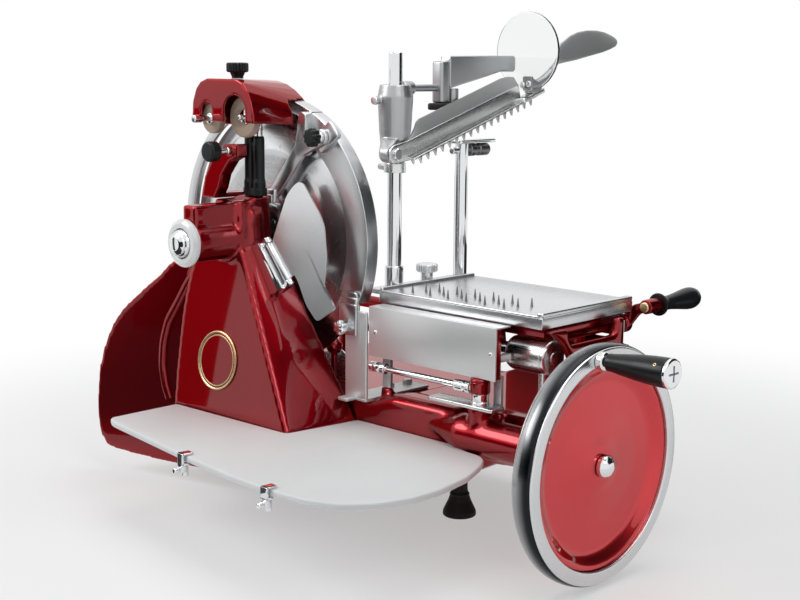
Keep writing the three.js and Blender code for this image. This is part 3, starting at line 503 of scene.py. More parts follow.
def finish(name, low, high, grain, bump, lines=None, streak=0.22, dust=0.0, scratch=0.0, **gloss):
    """low and high are the colour's two ends over the broad cloud. grain is (size, base roughness,
    spread). lines is (centre, axis, per metre) for turning or a stretch for brushing, and streak is
    how much the lines change the roughness. gloss goes to the shader's own inputs."""
    material, tree, shader = new_material(name)
    grained = add_node(tree, "Group", node_tree=GRAIN, Size=grain[0], Base=grain[1], Spread=grain[2])
    feed(tree, mix_colour(tree, grained.outputs["Cloud"], low, high), shader.inputs["Base Color"])
    height, rough = grained.outputs["Height"], grained.outputs["Roughness"]
    if lines:
        if lines[1] in AXES:
            marks = add_node(
                tree, "Group", node_tree=TURNING,
                Centre=tuple(placed(lines[0])), Axis=AXES[lines[1]], Lines=lines[2],
            )
        else:
            marks = add_node(tree, "Group", node_tree=BRUSHING, Stretch=lines)
        height = marks.outputs["Lines"]
        rough = math_node(tree, "MULTIPLY_ADD", math_node(tree, "SUBTRACT", height, 0.5), streak, rough)
    if scratch:
        hair = add_node(tree, "Group", node_tree=SCRATCHES).outputs["Mask"]
        rough = math_node(tree, "MULTIPLY_ADD", hair, scratch, rough)
    if dust:
        veil = add_node(tree, "Group", node_tree=DUST, Amount=dust).outputs["Mask"]
        lay_over(material, veil, DUST_TONE)
    feed(tree, math_node(tree, "MAXIMUM", rough, 0.02), shader.inputs["Roughness"])
    lift = add_node(tree, "Bump", Strength=bump, Distance=0.0005, Height=height)
    feed(tree, lift.outputs["Normal"], shader.inputs["Normal"])
    for key, value in gloss.items():
        feed(tree, value, shader.inputs[key.replace("_", " ")])
    FINISH[name] = material
    return material


# %% The red enamel
def make_enamel(name, low, high, coat):
    """Metallic paint under a smooth clear coat: flakes are small cells whose brightness differs."""
    material = finish(
        name, low, high, (520.0, 0.29, 0.05), 0.01, dust=0.015, Metallic=0.96,
        Coat_Weight=coat, Coat_Roughness=0.03, Coat_IOR=1.5, Specular_Tint=(0.85, 0.08, 0.12),
    )
    tree = material.node_tree
    cells = add_node(tree, "TexVoronoi", object_point(tree), Scale=2600.0).outputs["Distance"]
    lay_over(material, math_node(tree, "MULTIPLY", cells, 0.35), tuple(1.4 * v for v in high))


# The flywheel disc's copy of the red enamel is painted about twice as light as the body's: painted light on
# the same paint.
make_enamel("red_enamel", (0.21, 0.001, 0.005), (0.28, 0.0015, 0.007), 0.8)
make_enamel("disc_enamel_painted_lighter", (0.50, 0.018, 0.026), (0.58, 0.026, 0.032), 1.0)


# %% The metals
def metal(name, low, high, grain, bump, Metallic=1.0, **more):
    """A finish of bare metal, where Metallic is less than 1 for a duller look."""
    return finish(name, low, high, grain, bump, Metallic=Metallic, **more)


metal("polished_steel", (0.68, 0.69, 0.70), (0.76, 0.77, 0.78), (700.0, 0.22, 0.06), 0.03,
      lines=(BLADE, "y", 2600.0), scratch=0.12)
metal("sheet_steel", (0.60, 0.61, 0.62), (0.72, 0.73, 0.74), (600.0, 0.28, 0.06), 0.012,
      lines=(BLADE, "y", 2200.0), streak=0.08, scratch=0.08)
metal("rim_steel", (0.62, 0.63, 0.64), (0.72, 0.73, 0.74), (700.0, 0.24, 0.08), 0.04,
      lines=(WHEEL, "x", 2600.0), scratch=0.1)
metal("cover_steel", (0.70, 0.71, 0.71), (0.75, 0.76, 0.76), (500.0, 0.34, 0.05), 0.008,
      lines=(30.0, 1500.0, 1500.0), streak=0.05, scratch=0.06, Metallic=0.55)
metal("chrome", (0.72, 0.73, 0.74), (0.80, 0.81, 0.82), (600.0, 0.07, 0.05), 0.006, scratch=0.15)
metal("table_steel", (0.60, 0.61, 0.62), (0.70, 0.71, 0.72), (600.0, 0.27, 0.06), 0.015,
      lines=(1500.0, 30.0, 1500.0), streak=0.12, scratch=0.15)
metal("pale_steel", (0.66, 0.67, 0.67), (0.76, 0.77, 0.77), (600.0, 0.24, 0.10), 0.03,
      lines=(30.0, 1800.0, 1800.0), scratch=0.15)
metal("dark_steel", (0.16, 0.16, 0.17), (0.26, 0.26, 0.27), (800.0, 0.34, 0.12), 0.05, scratch=0.2)
metal("drive_steel", (0.22, 0.21, 0.20), (0.34, 0.33, 0.31), (800.0, 0.30, 0.16), 0.05, dust=0.2)
metal("grey_aluminium", (0.36, 0.37, 0.38), (0.46, 0.47, 0.48), (1400.0, 0.36, 0.10), 0.08, scratch=0.12)
metal("dark_aluminium", (0.36, 0.37, 0.37), (0.43, 0.44, 0.44), (1400.0, 0.42, 0.10), 0.08,
      scratch=0.12, Metallic=0.6)
metal("badge_brass", (0.62, 0.47, 0.24), (0.74, 0.60, 0.36), (700.0, 0.26, 0.12), 0.03, scratch=0.15)


def make_tyre_with_painted_reflection():
    """The rim's outer band: turned steel whose colour carries a painted reflection, falling from light
    at its back edge to nearly black at the front one, t = smoothstep of x between the two edges."""
    material = metal("tyre_painted_reflection", (0.42, 0.43, 0.44), (0.52, 0.53, 0.54), (700.0, 0.22, 0.06), 0.02,
                     lines=(WHEEL, "x", 2600.0), streak=0.1)
    tree = material.node_tree
    across = add_node(tree, "SeparateXYZ", object_point(tree)).outputs["X"]
    edges = placed([[457, 0, 0], [474, 0, 0]])[:, 0]
    painted_reflection_ramp = add_node(tree, "MapRange", across, *edges.tolist(), interpolation_type="SMOOTHSTEP")
    # painted reflection: the band's colour is taken to nearly black towards its front edge, standing in for
    # a dark reflection
    painted_dark_reflection = (0.02, 0.022, 0.024)
    lay_over(material, painted_reflection_ramp.outputs["Result"], painted_dark_reflection)


make_tyre_with_painted_reflection()
print("metals:", len(FINISH))

# %% The other finishes
finish("light_enamel", (0.74, 0.76, 0.76), (0.80, 0.82, 0.82), (420.0, 0.48, 0.08), 0.012,
       dust=0.15, scratch=0.1)
finish("cap_enamel", (0.84, 0.86, 0.85), (0.88, 0.90, 0.89), (420.0, 0.18, 0.06), 0.01,
       dust=0.03, scratch=0.1, Coat_Weight=0.5)
finish("black_rubber", (0.010, 0.010, 0.011), (0.024, 0.024, 0.025), (1500.0, 0.55, 0.12), 0.12,
       dust=0.12, Specular_IOR_Level=0.3)
finish("black_plastic", (0.006, 0.008, 0.008), (0.012, 0.014, 0.015), (1200.0, 0.26, 0.10), 0.03,
       dust=0.04, scratch=0.1, Specular_IOR_Level=0.25)
finish("grinding_grit", (0.36, 0.25, 0.18), (0.56, 0.45, 0.36), (1900.0, 0.85, 0.10), 0.5)
finish("clear_plastic", (0.88, 0.90, 0.90), (0.92, 0.93, 0.93), (300.0, 0.03, 0.02), 0.004,
       Transmission_Weight=1.0, IOR=1.49)
print("finishes:", sorted(FINISH))

# %% [markdown]
# ## The red castings
# The base, the column with its swept shield, the sharpener's arm and hood, the carriage and the
# feed crank are castings under thick enamel. None of them has a sharp corner. Their solids come
# from the frame, and the small cubes and smoothing give each corner its fillet.

# %% Castings
cast("base_body", "base_casting", "red_enamel", cube=2.9, rounds=5)
cast("column_body", "column_casting", "red_enamel", cube=1.95, rounds=15)
cast("hood_shell", "sharpener_hood", "red_enamel", cube=1.1, rounds=6)
cast("arm_body", "sharpener_arm", "red_enamel", cube=1.1, rounds=8)
cast("crank_arm", "feed_crank", "red_enamel", cube=0.9, rounds=4)
milled("carriage_body", "carriage_frame", "red_enamel", width=1.6)

# %% Rolled edge between column and shield
BEAD_X = [-57.3, -72.1, -85.7, -102.4, -110.6, -112.8, -109.0, -103.4]
BEAD_Z = [268.9, 249.8, 227.0, 201.1, 173.3, 144.7, 120.5, 105.1]
way = soften([(x + 2.0, 0.25 * x - 61.5, z) for x, z in zip(BEAD_X, BEAD_Z)], 9.0, 5)
piece("shield_bead", [tube(way, 6.5, 32, (0.25, -1, 0))], "red_enamel", body="frame")

# %% [markdown]
# ## The badge
# The round badge on the column is left bare: two raised rings with the body's red between them. The
# rings are turned profiles whose axis leans back with the column's face.

# %% Badge
FACE_Y, FACE_Z, FACE_RISE, FACE_RUN = -108.0, 110.0, 192.0, 29.0
LEAN = np.arctan2(FACE_RUN, FACE_RISE)
BADGE_AXIS = (0.0, -np.cos(LEAN), np.sin(LEAN))
BADGE_Z = 170.0
BADGE_AT = (5.0, FACE_Y + (BADGE_Z - FACE_Z) * FACE_RUN / FACE_RISE - 0.4, BADGE_Z)
rings = [
    turned(BADGE_AXIS, [(31.2, 0), (34, 0), (34, 1.5), (32.8, 2.0), (31.2, 1.4)], BADGE_AT, 0.5, 96),
    turned(BADGE_AXIS, [(28.2, 0), (29.6, 0), (29.6, 1.5), (28.2, 1.5)], BADGE_AT, 0.3, 96),
]
piece("badge_rings", rings, "badge_brass", "badge_plate")
field = solid(BADGE_AXIS, [(31.4, 0.2), (31.4, 1.1), (28, 1.2), (0, 1.5)], BADGE_AT, 0.4, 96)
piece("badge_field", [field], "red_enamel", body="frame")

# %% [markdown]
# ## Feet
# Five rubber feet: a wide flange, a waist and a shank that goes into the casting's boss. The
# flange has a thin groove where the mould parted.

# %% Feet
FEET = {
    "foot_front_left": (-110, 22), "foot_front_middle": (96, 22), "foot_front_right": (229, 68),
    "foot_rear_left": (-110, 196), "foot_rear_right": (300, 196),
}
FOOT = [
    (17.6, 0), (19, 1.4), (19, 3.2), (18.5, 3.6), (18.9, 4.2), (18.6, 6.2), (13, 18), (11, 24),
    (11.4, 26), (9.6, 28), (9, 32), (9, 42),
]
for name, (x, y) in FEET.items():
    piece("rubber_" + name, [solid("z", FOOT, (x, y, 0), 1.2, 48)], "black_rubber", name)

# %% [markdown]
# ## The knife
# The blade is a dished disc ground to an edge. Its front is a ring of flat steel, then a long
# hollow cone, then the bevel. Turning marks round the axis give the bow-tie glint of real blades.

# %% Blade and its drive
knife = turned("y", [
    (24, -12), (92, -12), (99, -11.6), (126, -5.6), (129, -4.6), (149.4, -0.5), (150, -0.15),
    (149.4, 0), (122, -0.8), (24, -4),
], BLADE, 0.8, 160)
piece("knife", [knife], "polished_steel", "blade_disc")
hub = [turned("y", [(8.4, -22), (30, -22), (36, -19), (36, -12.3), (23.7, -12.3), (23.7, -3), (8.4, -3)],
              BLADE, 1.0, 96)]
for a in np.radians(np.arange(4) * 90 + 45):
    at = (22 * np.cos(a), 0, BLADE[2] + 22 * np.sin(a))
    hub.append(solid("y", [(2.6, -24), (3.4, -23.2), (3.4, -21.8)], at, 0.4, 24))
piece("knife_hub", hub, "dark_steel", "blade_hub")

# %% Cap over the shaft's front end
collar = turned("y", [(17, -8), (22.6, -8), (27, -4.6), (27, 0), (17, 0)], (0, -137.3, BLADE[2]), 1.4, 96)
piece("cap_collar", [collar], "cap_enamel", "cap_ring")
dome = solid("y", [
    (0, -16), (8, -15.4), (12.6, -13), (13.2, -11.4), (12.6, -10.8), (14.6, -9.8), (16, -7),
    (16, -1),
], (0, -137.8, BLADE[2]), 1.2, 96)
piece("cap_dome", [dome], "chrome", "cap_button")

# %% [markdown]
# ## The flywheel
# A brushed steel rim round a red dished disc, a chrome hub cap, and the crank grip on its spindle.
# All are turned, so each is one profile round the main shaft.

# %% Flywheel
rim = turned("x", [
    (104, -20), (112, -24.4), (117.6, -23), (117.6, -1.4), (116.6, -0.2), (106, 0), (104, -0.6),
], WHEEL, 0.8, 160)
piece("flywheel_rim", [rim], "rim_steel", "wheel_rim")
# The outer band's colour carries a painted dark reflection towards its front edge.
tyre = turned("x", [
    (114, -24.5), (116, -24.6), (119, -20), (120, -14), (120, -8), (119.2, -4), (117.6, -1.8),
    (114, -1.8),
], WHEEL, 1.5, 160)
piece("flywheel_tyre", [tyre], "tyre_painted_reflection", body="flywheel")
# The disc's red is the body's enamel painted lighter, standing in for the light the disc catches.
disc = turned("x", [
    (6.8, -26), (20, -26), (22, -18.4), (88, -18), (103.7, -16), (103.7, -3), (98, -4.6),
    (90, -9.6), (84, -11.4), (60, -11), (30, -8.4), (18, -6.4), (6.8, -6),
], WHEEL, 3.0, 160)
piece("flywheel_disc", [disc], "disc_enamel_painted_lighter", "wheel_disc")
dome = solid("x", [(11.5, -5.7), (11.5, -1.2), (10.4, 0.8), (8.4, 3.0), (5, 4.6), (0, 5.2)], WHEEL, 1.0, 64)
piece("hub_dome", [dome], "chrome", "hub_cap")

# %% Crank grip on its spindle
GRIP = (480, -20, 232)
grip_pin = solid("x", [
    (0, 0.3), (9, 0.3), (9, 6), (8.2, 7), (5, 9), (5, 77.3), (14.0, 77.3), (14.4, 77.8),
    (14.4, 80.2), (12.8, 81.3), (0, 81.6),
], GRIP, 0.5, 64)
piece("grip_pin", [grip_pin], "chrome", "grip_spindle")
slit = [
    block(561.2, 561.9, -20.9, -19.1, 224.5, 239.5, 0.1, 0.2),
    block(561.2, 561.9, -27.5, -12.5, 231.1, 232.9, 0.1, 0.2),
]
piece("grip_pin_slit", slit, "dark_steel", body="flywheel")
handle = turned("x", [
    (5.08, 10), (7.8, 10), (8.7, 11), (8.6, 14), (9.8, 22), (12.6, 44), (13.8, 60), (14.2, 70),
    (14.2, 76.2), (13.6, 77), (5.08, 77),
], GRIP, 1.5)
piece("crank_handle", [handle], "black_plastic", "crank_grip")
hole = solid((0, -0.8, 0.6), [(1.7, 12.4), (1.7, 14.5), (0.9, 14.7), (0.8, 13.6)], (548, -20, 232), 0.2, 24)
piece("grip_oil_hole", [hole], "badge_brass", body="crank_grip")

# %% [markdown]
# ## The receiving tray
# An enamelled plate lies on ledges in front of the blade. Its outline is one closed curve, carried
# through a small thickness with a round rim. Two chrome clips hang on its front edge.

# %% Tray
TRAY = [
    (-55, -113), (-55, -206), (-40, -214), (124, -240), (210, -251), (274, -254), (320, -250), (352, -238),
    (374, -212), (386, -176), (387, -141), (378, -90), (362, -52), (350, -33), (338, -25), (318, -23),
    (286, -13), (146, -12.6), (134, -109),
]
piece("tray_plate", [plate(TRAY, "xy", 104.2, 111.0, 2.2, 6.0)], "light_enamel", "receiving_tray")

# %% Tray clips, each with a round head above the tray and a clamping screw under it
clip = [
    block(-5, 5, -5, 9, 0.3, 2.5, 0.6, 1.5),
    block(-5, 5, -5, -1.6, -12, 2.5, 0.6, 1.0),
    block(-5, 5, -5, 4, -10.5, -7.6, 0.6, 1.0),
    block(-4, 4, -5, 2, -18, -8, 1.0, 2.0),
    rod("z", 3.2, -22, -8, (0, 1.5, 0), reach=0.5),
    solid("y", [(2.4, -12), (3, -11), (3, -3)], (0, 0, -15), 0.5),
]
CLIPS = {"tray_clip_left": (-9, (124, -240, 111)), "tray_clip_right": (-3, (270, -253.6, 111))}
for name, stance in CLIPS.items():
    piece("chrome_" + name, moved(clip, *stance), "chrome", name)

# %% [markdown]
# ## The guard
# Two ring parts cover the edge. The fixed one is an angle section bent round the left of the blade
# on a stay from the column. The other is a wide flat ring that comes off for cleaning: a knob holds
# its tab above, a bolt its lug below. Each ring is a section carried along an arc.

# %% Fixed guard
KNOB = (96, 0, 425)
BOLT = (134, 0, 217)
GUARD_R, GUARD_THICK = 160, 3


def angle_section(inner):
    """A flat ring from inner to the guard's radius, with a lip back over the blade's edge."""
    lip = GUARD_R - GUARD_THICK
    return [(inner, -13), (GUARD_R, -13), (GUARD_R, 4), (lip, 4), (lip, -10), (inner, -10)]


fixed = [
    arc(angle_section(147), 64, 214),
    plate(pill((14, 354), (62, 410), 7, 9), "xz", -24, -19, 1.2, 0),
    plate(pill((62, 410), KNOB[::2], 8.6, 9), "xz", -24.25, -19, 1.2, 0),
    plate(pill((62, 410), (66, 446), 8.2, 6), "xz", -23.7, -10.5, 1.0, 0),
    block(-6, 20, -29.7, -26, 346.2, 356, 1.0),
    block(5, 22, -27, -19, 346.6, 362, 1.0, 3),
]
piece("guard_arc", fixed, "sheet_steel", "fixed_guard")

# %% Removable ring with its knob and bolt
TAB = [(77, 423), (91, 406), (120, 427), (106, 444)]
LUG = [(124, 208), (151, 208), (151, 238), (149, 250), (147, 256), (124, 256), (122, 250)]
ring = [
    arc(angle_section(127), -24, 63.2),
    plate(TAB, "xz", -18.7, -12.4, 1.0, 4),
    plate(LUG, "xz", -17.6, -14.4, 0.9, 3),
    block(124, 151, -21.4, -18.0, 208, 243, 0.9, 3),
    block(123, 150, -20.0, -12.0, 240, 250, 0.9, 3),
]
piece("guard_sector", ring, "sheet_steel", "guard_ring")
knob = solid("y", [(8.6, -41), (10.5, -39.4), (10.5, -31.6), (9, -30)], KNOB, 1.0, 108, (9, 1.7, 6.5))
piece("guard_knob_grip", [knob], "black_plastic", "guard_knob")
stem = solid("y", [(6.5, -31), (6.5, -28), (5.6, -27.2), (6.5, -26.4), (6.5, -24.3), (4, -24.2), (4, -9.5)],
             KNOB, 0.4, 40)
piece("guard_knob_stem", [stem], "chrome", body="guard_knob")
bolt = [
    solid("y", [(7, -33), (8.5, -31.6), (8.5, -26.2), (7.4, -25)], BOLT, 0.8, 96, (6, 2.2, 5.5)),
    solid("y", [(6, -26), (6, -21.7), (4, -21.6), (4, -13.6)], BOLT, 0.4, 40),
]
piece("guard_bolt_knob", bolt, "chrome", "guard_bolt")

# %% Bracket and latch on the base
bracket = [
    block(130, 164, -17.9, -14.2, 137, 236, 1.0, 2),
    block(130, 164, -17.9, 86, 134.3, 138, 1.0, 3),
    block(131, 147, -31, -17, 134.3, 138, 1.0, 3),
    *(solid("z", [(6, 137), (6, 141), (4.6, 143)], (140, y, 0), 0.6, 6) for y in (44, 74)),
]
piece("guard_foot", bracket, "cover_steel", "guard_bracket")
BALL_R, BALL_Z = 9.5, 182
BALL = [(BALL_R * np.sin(q), BALL_Z - BALL_R * np.cos(q)) for q in np.radians(np.linspace(25, 155, 14))]
latch = [
    solid("z", [(4, 134.3), *BALL, (0, 190.6)], (80, 13, 0), 0, 48),
    solid("z", [(3, BALL_Z), (2.6, 206), (2, 208)], (80, 9, 0), 0.5, 24),
]
piece("latch_ball", latch, "red_enamel", "guard_latch")

# %% [markdown]
# ## The slice deflector
# A bent sheet on a slanting hinge guides each slice down to the tray. The sheet is a fan: its
# outline shrinks towards the middle in rings, and every point gets its depth from its distance to
# the hinge.

# %% Deflector
HINGE = np.array([44.0, -54.0, 304.0])
HINGE_WAY = np.array([0.65, 0.0, -0.76])
SHEET = [
    (47, 305), (48, 312), (59, 358), (66, 369), (73, 375), (80, 374), (86, 367), (107, 341), (115, 327),
    (118, 313), (122, 296), (124, 259), (143, 241), (120, 224), (103, 241), (89, 265), (82, 273), (78, 268),
]


def sheet_depth(x, z):
    """Depth of the sheet: 1 mm behind the hinge's line, and a quarter of the distance from it."""
    away = (z - HINGE[2]) * HINGE_WAY[0] - (x - HINGE[0]) * HINGE_WAY[2]
    return HINGE[1] + 1 + 0.25 * away


def fan(outline, depth, thick):
    """Rings of an outline drawn to its middle, once on the near side and once, back to front, on
    the far side: point = middle + s (edge - middle), y = depth(x, z) or depth + thick."""
    edge = soften(outline, 5.0, 4, closed=True)
    middle = edge.mean(0)
    s = np.linspace(0, 1, 10)[:, None, None]
    flat = middle + s * (edge - middle)
    near = np.stack([flat[..., 0], depth(flat[..., 0], flat[..., 1]), flat[..., 1]], -1)
    far = near[::-1] + np.array([0, thick, 0])
    return skin(np.concatenate([near, far]), lids=False)


sheet = [
    fan(SHEET, sheet_depth, 2.0),
    tube([HINGE + HINGE_WAY * t for t in (0, 1, 25, 49, 50)], (3.8, 4.4, 4.4, 4.4, 3.8), 32, (0, 1, 0)),
    tube([HINGE + HINGE_WAY * t for t in (-7, 57)], 2.4, 20, (0, 1, 0)),
]
piece("deflector_sheet", sheet, "sheet_steel", "slice_deflector")
milled("deflector_mount", "deflector_bracket", "chrome", width=0.7)

# %% [markdown]
# ## The sharpener
# Under the red hood two stones wait: a grinding stone on the left and a cup shaped honing stone on
# the right. The hood slides up on two chrome pins in a black post. The stones are gritty, so their
# finish is dull and strongly bumped, and their spindles are chrome.

# %% Post, pins and knobs
PIN_PLACES = [(6, -49, 0), (22, -49, 0)]
BARREL = [(4.3, 356.4), (7.2, 356.4), (7.2, 372), (6.2, 376), (6.2, 421), (5.2, 424), (4.3, 424)]
holder = [
    *(turned("z", BARREL, at, 0.8, 48) for at in PIN_PLACES),
    block(9.5, 18.5, -51.5, -46.5, 356.4, 418, 1.0, 1.5),
    block(-1, 30, -55.6, -42.4, 356.4, 366, 1.4, 4),
]
piece("sharpener_block", holder, "black_plastic", "sharpener_post")
pins = [solid("z", [(4, 400), (4, 474.4), (3.4, 475)], at, sides=36) for at in PIN_PLACES]
pins.append(block(2, 26, -52, -46, 430, 433, 0.5))
piece("hood_guides", pins, "chrome", "hood_pins")
top_knob = [
    solid("z", [(11, 495), (12.5, 496.4), (12.5, 504.2), (11.6, 505.6), (6, 506), (0, 505.4)], (6, -66, 0),
          0.9, 120, (20, 1.1, 8)),
    solid("z", [(7, 488.1), (6.4, 490), (9, 495.5)], (6, -66, 0), 0.8, 48),
]
piece("hood_thumb_knob", top_knob, "black_plastic", "hood_knob")
ARM_KNOB = (6, 0, 408)
knob = solid("y", [(10, -111), (11.5, -109.4), (11.5, -99.4), (10.4, -98), (4, -98)], ARM_KNOB, 1.2, 72)
piece("arm_thumb_knob", [knob], "black_plastic", "arm_knob")
stem = solid("y", [(4, -99), (4, -84), (4.6, -83), (4.6, -80.5), (4, -79.6), (4, -64)], ARM_KNOB)
piece("arm_knob_stem", [stem], "chrome", body="arm_knob")

# %% Stones
GRINDER = (-27, 0, 443)
HONER = (22, 0, 446)
wheel = turned("y", [(3.4, -78), (16.2, -78), (17, -77.2), (17, -70.8), (16.2, -70), (3.4, -70)], GRINDER)
piece("grinding_wheel", [wheel], "grinding_grit", "grinding_stone")
spindle = [
    rod("y", 3.2, -102, -52, GRINDER),
    solid("y", [(3.6, -104), (4.4, -103.2), (4.4, -92.8), (3.6, -92)], GRINDER, 0.4),
    solid("y", [(6, -81), (6.4, -80), (6.4, -78.1)], GRINDER, 0.4),
]
piece("grinding_spindle", spindle, "chrome", body="grinding_stone")
cup = turned("y", [
    (8, -68), (13, -73), (21.4, -73), (23, -71), (23, -65), (21.6, -63.6), (8.4, -63),
], HONER, 0.8)
piece("honing_cup", [cup], "grinding_grit", "honing_stone")
spindle = [
    rod("y", 8.3, -70, -63.5, HONER, 36, 0.4),
    solid("y", [(2.4, -78), (3, -77.4), (3, -54.5)], HONER),
]
piece("honing_spindle", spindle, "chrome", body="honing_stone")

# %% [markdown]
# ## The carriage's way
# A round bar guides the carriage in front. A chrome head and a post carry its right end, and a
# pressed cover with folded edges hides it from the slices. The tie rod links flywheel and carriage.

# %% Bar, head, cover and splash plate
bar = solid("x", [(8.4, -42), (9, -41.4), (9, 338)], (0, 30, 212), 0.5, 48)
piece("guide_round", [bar], "polished_steel", "guide_bar")
head = [
    solid("x", [
        (6, 52), (6, 51.2), (16.8, 51.2), (18.5, 49.6), (18.5, 46.2), (18.0, 45.6), (18.5, 45),
        (18.5, 4), (17, 0), (9.3, 0), (9.3, 3),
    ], (336, 30, 212), 0.6, 72),
    solid("z", [(6.4, 146.3), (6.4, 167), (5, 169), (5, 200)], (374, 30, 0), 0.8, 36),
]
piece("guide_end", head, "pale_steel", "guide_head")
milled("slicer_cover", "drive_cover", "cover_steel", width=0.7)
lining = [
    block(170, 349, -16.3, -15.5, 190, 242, 0.2, 1.0),
    block(170, 349, -16, 4.6, 241.4, 242.3, 0.2, 1.0),
]
piece("cover_lining", lining, "black_plastic", body="frame")
piece("cover_end_strip", [block(343, 349.6, -15.6, -8.5, 190, 241.6, 0.6)], "red_enamel", body="frame")
RIVET = [(0, -19.2), (1.6, -19.0), (2.6, -18.2), (2.6, -17.4)]
rivets = [solid("y", RIVET, (x, 0, 216), sides=24) for x in (178, 343)]
piece("cover_rivets", rivets, "chrome", body="frame")
splash = plate([(12, 134.3), (90, 134.3), (90, 170), (80, 176), (16, 162)], "xz", 24.5, 26.5, 0.6, 4)
piece("splash_sheet", [splash], "pale_steel", "splash_plate")

# %% Tie rod
ROD = (0, -12, 176)
LINK = (325, -12, 0)
link = [
    rod("x", 3.6, 184, 322, ROD),
    solid("x", [(5, 166), (6, 167), (6, 189), (4.4, 190)], ROD, 0.5, 40),
    solid("x", [
        (5.4, 291), (6.2, 292), (6.2, 303), (5.2, 304), (5.2, 306), (6.2, 307), (6.2, 312.4), (5.6, 313),
    ], ROD, 0.4, 72, (12, 0.7, 5.6)),
    block(172, 184, -19, -5, 172, 180, 1.0, 2.5),
]
piece("carriage_link", link, "chrome", "tie_rod")
eye = turned("z", [
    (4.06, 172.3), (9.6, 172.3), (10.5, 173.2), (10.5, 184.2), (9.8, 185), (4.06, 185),
], LINK, 0.6, 64)
piece("link_eye", [eye], "red_enamel", body="tie_rod")
cap = solid("z", [(10.5, 185.3), (10.5, 186.8), (9, 188.5)], LINK, 0.8, 48)
piece("link_cap", [cap], "red_enamel", "tie_rod_pivot")
bush = solid("z", [(9.5, 160.4), (9.5, 163), (8.8, 163.8), (9.5, 164.6), (9.5, 172), (4, 172), (4, 187)],
             LINK, 0.4, 48)
piece("link_bush", [bush], "chrome", body="frame")
piece("link_plate", [block(261.5, 350.5, -23.4, -1.6, 156.6, 160.3, 0.8, 3)], "pale_steel", body="frame")

# %% [markdown]
# ## The meat table
# The table is a polished tray with two lips and rows of small spikes that hold the meat. Two posts
# stand on its left ledge. Its brushed top faintly mirrors the posts and the fence knob.

# %% Table
table = [
    block(158, 388, 8, 165, 254.5, 258, 1.2, 3),
    block(158, 160.5, 8, 165, 244, 256, 0.8, 2),
    block(385.5, 388, 8, 165, 244, 256, 0.8, 2),
    block(158, 388, 8, 10.5, 244, 256, 0.8, 2),
    block(158, 388, 162.5, 165, 244, 256, 0.8, 2),
    block(158, 163, 8, 165, 256, 261, 1.4, 2),
    block(380, 388, 8, 165, 256, 261, 1.4, 2),
    block(364, 380, 160, 165, 220, 250, 1.0, 3),
    plate([(122, 28), (159.5, 28), (159.5, 184), (122, 184)], "xy", 248, 254, 1.2, 6),
]
SPIKE = [(2.0, 257.4), (1.5, 258.6), (0.4, 267.6), (0, 268)]
spikes = [
    solid("z", SPIKE, (198 + i * 26 + row * 8, 20 + row * 13, 0), sides=12)
    for row in range(3) for i in range(6)
]
piece("table_plate", table, "table_steel", "meat_table")
piece("table_spikes", spikes, "dark_steel", body="table")

# %% Posts, knob and collar
FRONT = (147, 43, 0)
REAR = (136, 168, 0)
FENCE = (143, 102, 0)
post = [
    solid("z", [(8, 254.3), (8, 517.6), (7.2, 518.6), (5.6, 519)], FRONT, sides=48),
    solid("z", [(10.3, 254.3), (10.3, 279.4), (9.4, 281)], FRONT, 0.6, 48),
    rod("z", 5, 246, 255, FRONT),
]
piece("press_post", post, "chrome", "front_post")
short = [
    rod("z", 8, 254.3, 414, REAR, 48),
    block(127, 145, 156, 222, 413, 417.5, 1.0, 4),
    solid("y", [(3.4, 150), (4, 150.8), (4, 182)], (136, 0, 405)),
    rod("z", 5, 246, 255, REAR),
]
piece("rest_post", short, "chrome", "rear_post")
rest_knob = solid("y", [
    (6.6, 179), (7.5, 180), (7.5, 189.6), (6.2, 190.6), (6.2, 195), (7.5, 196), (7.5, 211.6),
    (6, 213.8), (0, 214),
], (136, 0, 405), 0.6, 48)
piece("rest_thumb_knob", [rest_knob], "dark_steel", body="table")
fence = [
    solid("z", [(11, 267), (12.5, 268.4), (12.5, 275.2), (11.4, 276.6), (0, 277)], FENCE, 0.8, 120,
          (24, 0.9, 9)),
    rod("z", 7, 254.3, 268, FENCE, 40, 0.6),
    rod("z", 4, 246, 255, FENCE),
]
piece("fence_thumb_knob", fence, "pale_steel", "fence_knob")
stop = [
    turned("z", [
        (8.08, 386), (12, 386), (12.5, 386.8), (12.5, 396.2), (12, 397), (8.08, 397),
    ], FRONT, 0.5, 64),
    solid("x", [(3.2, -24), (4, -23.2), (4, -12)], (147, 43, 391.5), 0.4),
]
piece("stop_collar", stop, "pale_steel", "post_collar")

# %% Feed grip
FEED = (402, 0, 250)
handle = solid("y", [
    (12.5, 192.3), (12.5, 194.6), (8.6, 198), (7.6, 206), (8, 216), (9.6, 230), (12, 248),
    (12.2, 256), (10.6, 263), (7, 267.4), (5, 268.4),
], FEED, 2.0, 64)
piece("feed_handle", [handle], "black_plastic", "feed_grip")
screw = [
    rod("y", 4, 167, 193, FEED),
    solid("y", [(4.6, 165.3), (5.5, 166.2), (5.5, 168.2)], FEED, 0.4, 40),
    solid("y", [(4.4, 268.2), (4.4, 268.8), (3.6, 269)], FEED, 0.2),
]
piece("feed_grip_screw", screw, "badge_brass", body="feed_grip")

# %% [markdown]
# ## The meat press
# A cast clamp rides on the front post. An arm reaches back from its top and carries a rubber pad
# and the clear hand guard. A toothed plate hangs between the clamp's pivot and the arm's end, with
# a broad paddle for the hand. The cast parts are grey aluminium, bead blasted.

# %% Clamp and arm
cast("clamp_body", "press_clamp", "grey_aluminium", cube=1.0, rounds=5)
screws = [
    solid("x", [(7, 170.4), (7, 172.2), (6, 173.4)], (0, 22, 408), 0.4, 6),
    solid("y", [(4.2, 14.5), (4.8, 15.4), (4.8, 19)], (141, 0, 466), 0.4),
]
piece("clamp_screws", screws, "pale_steel", body="press")


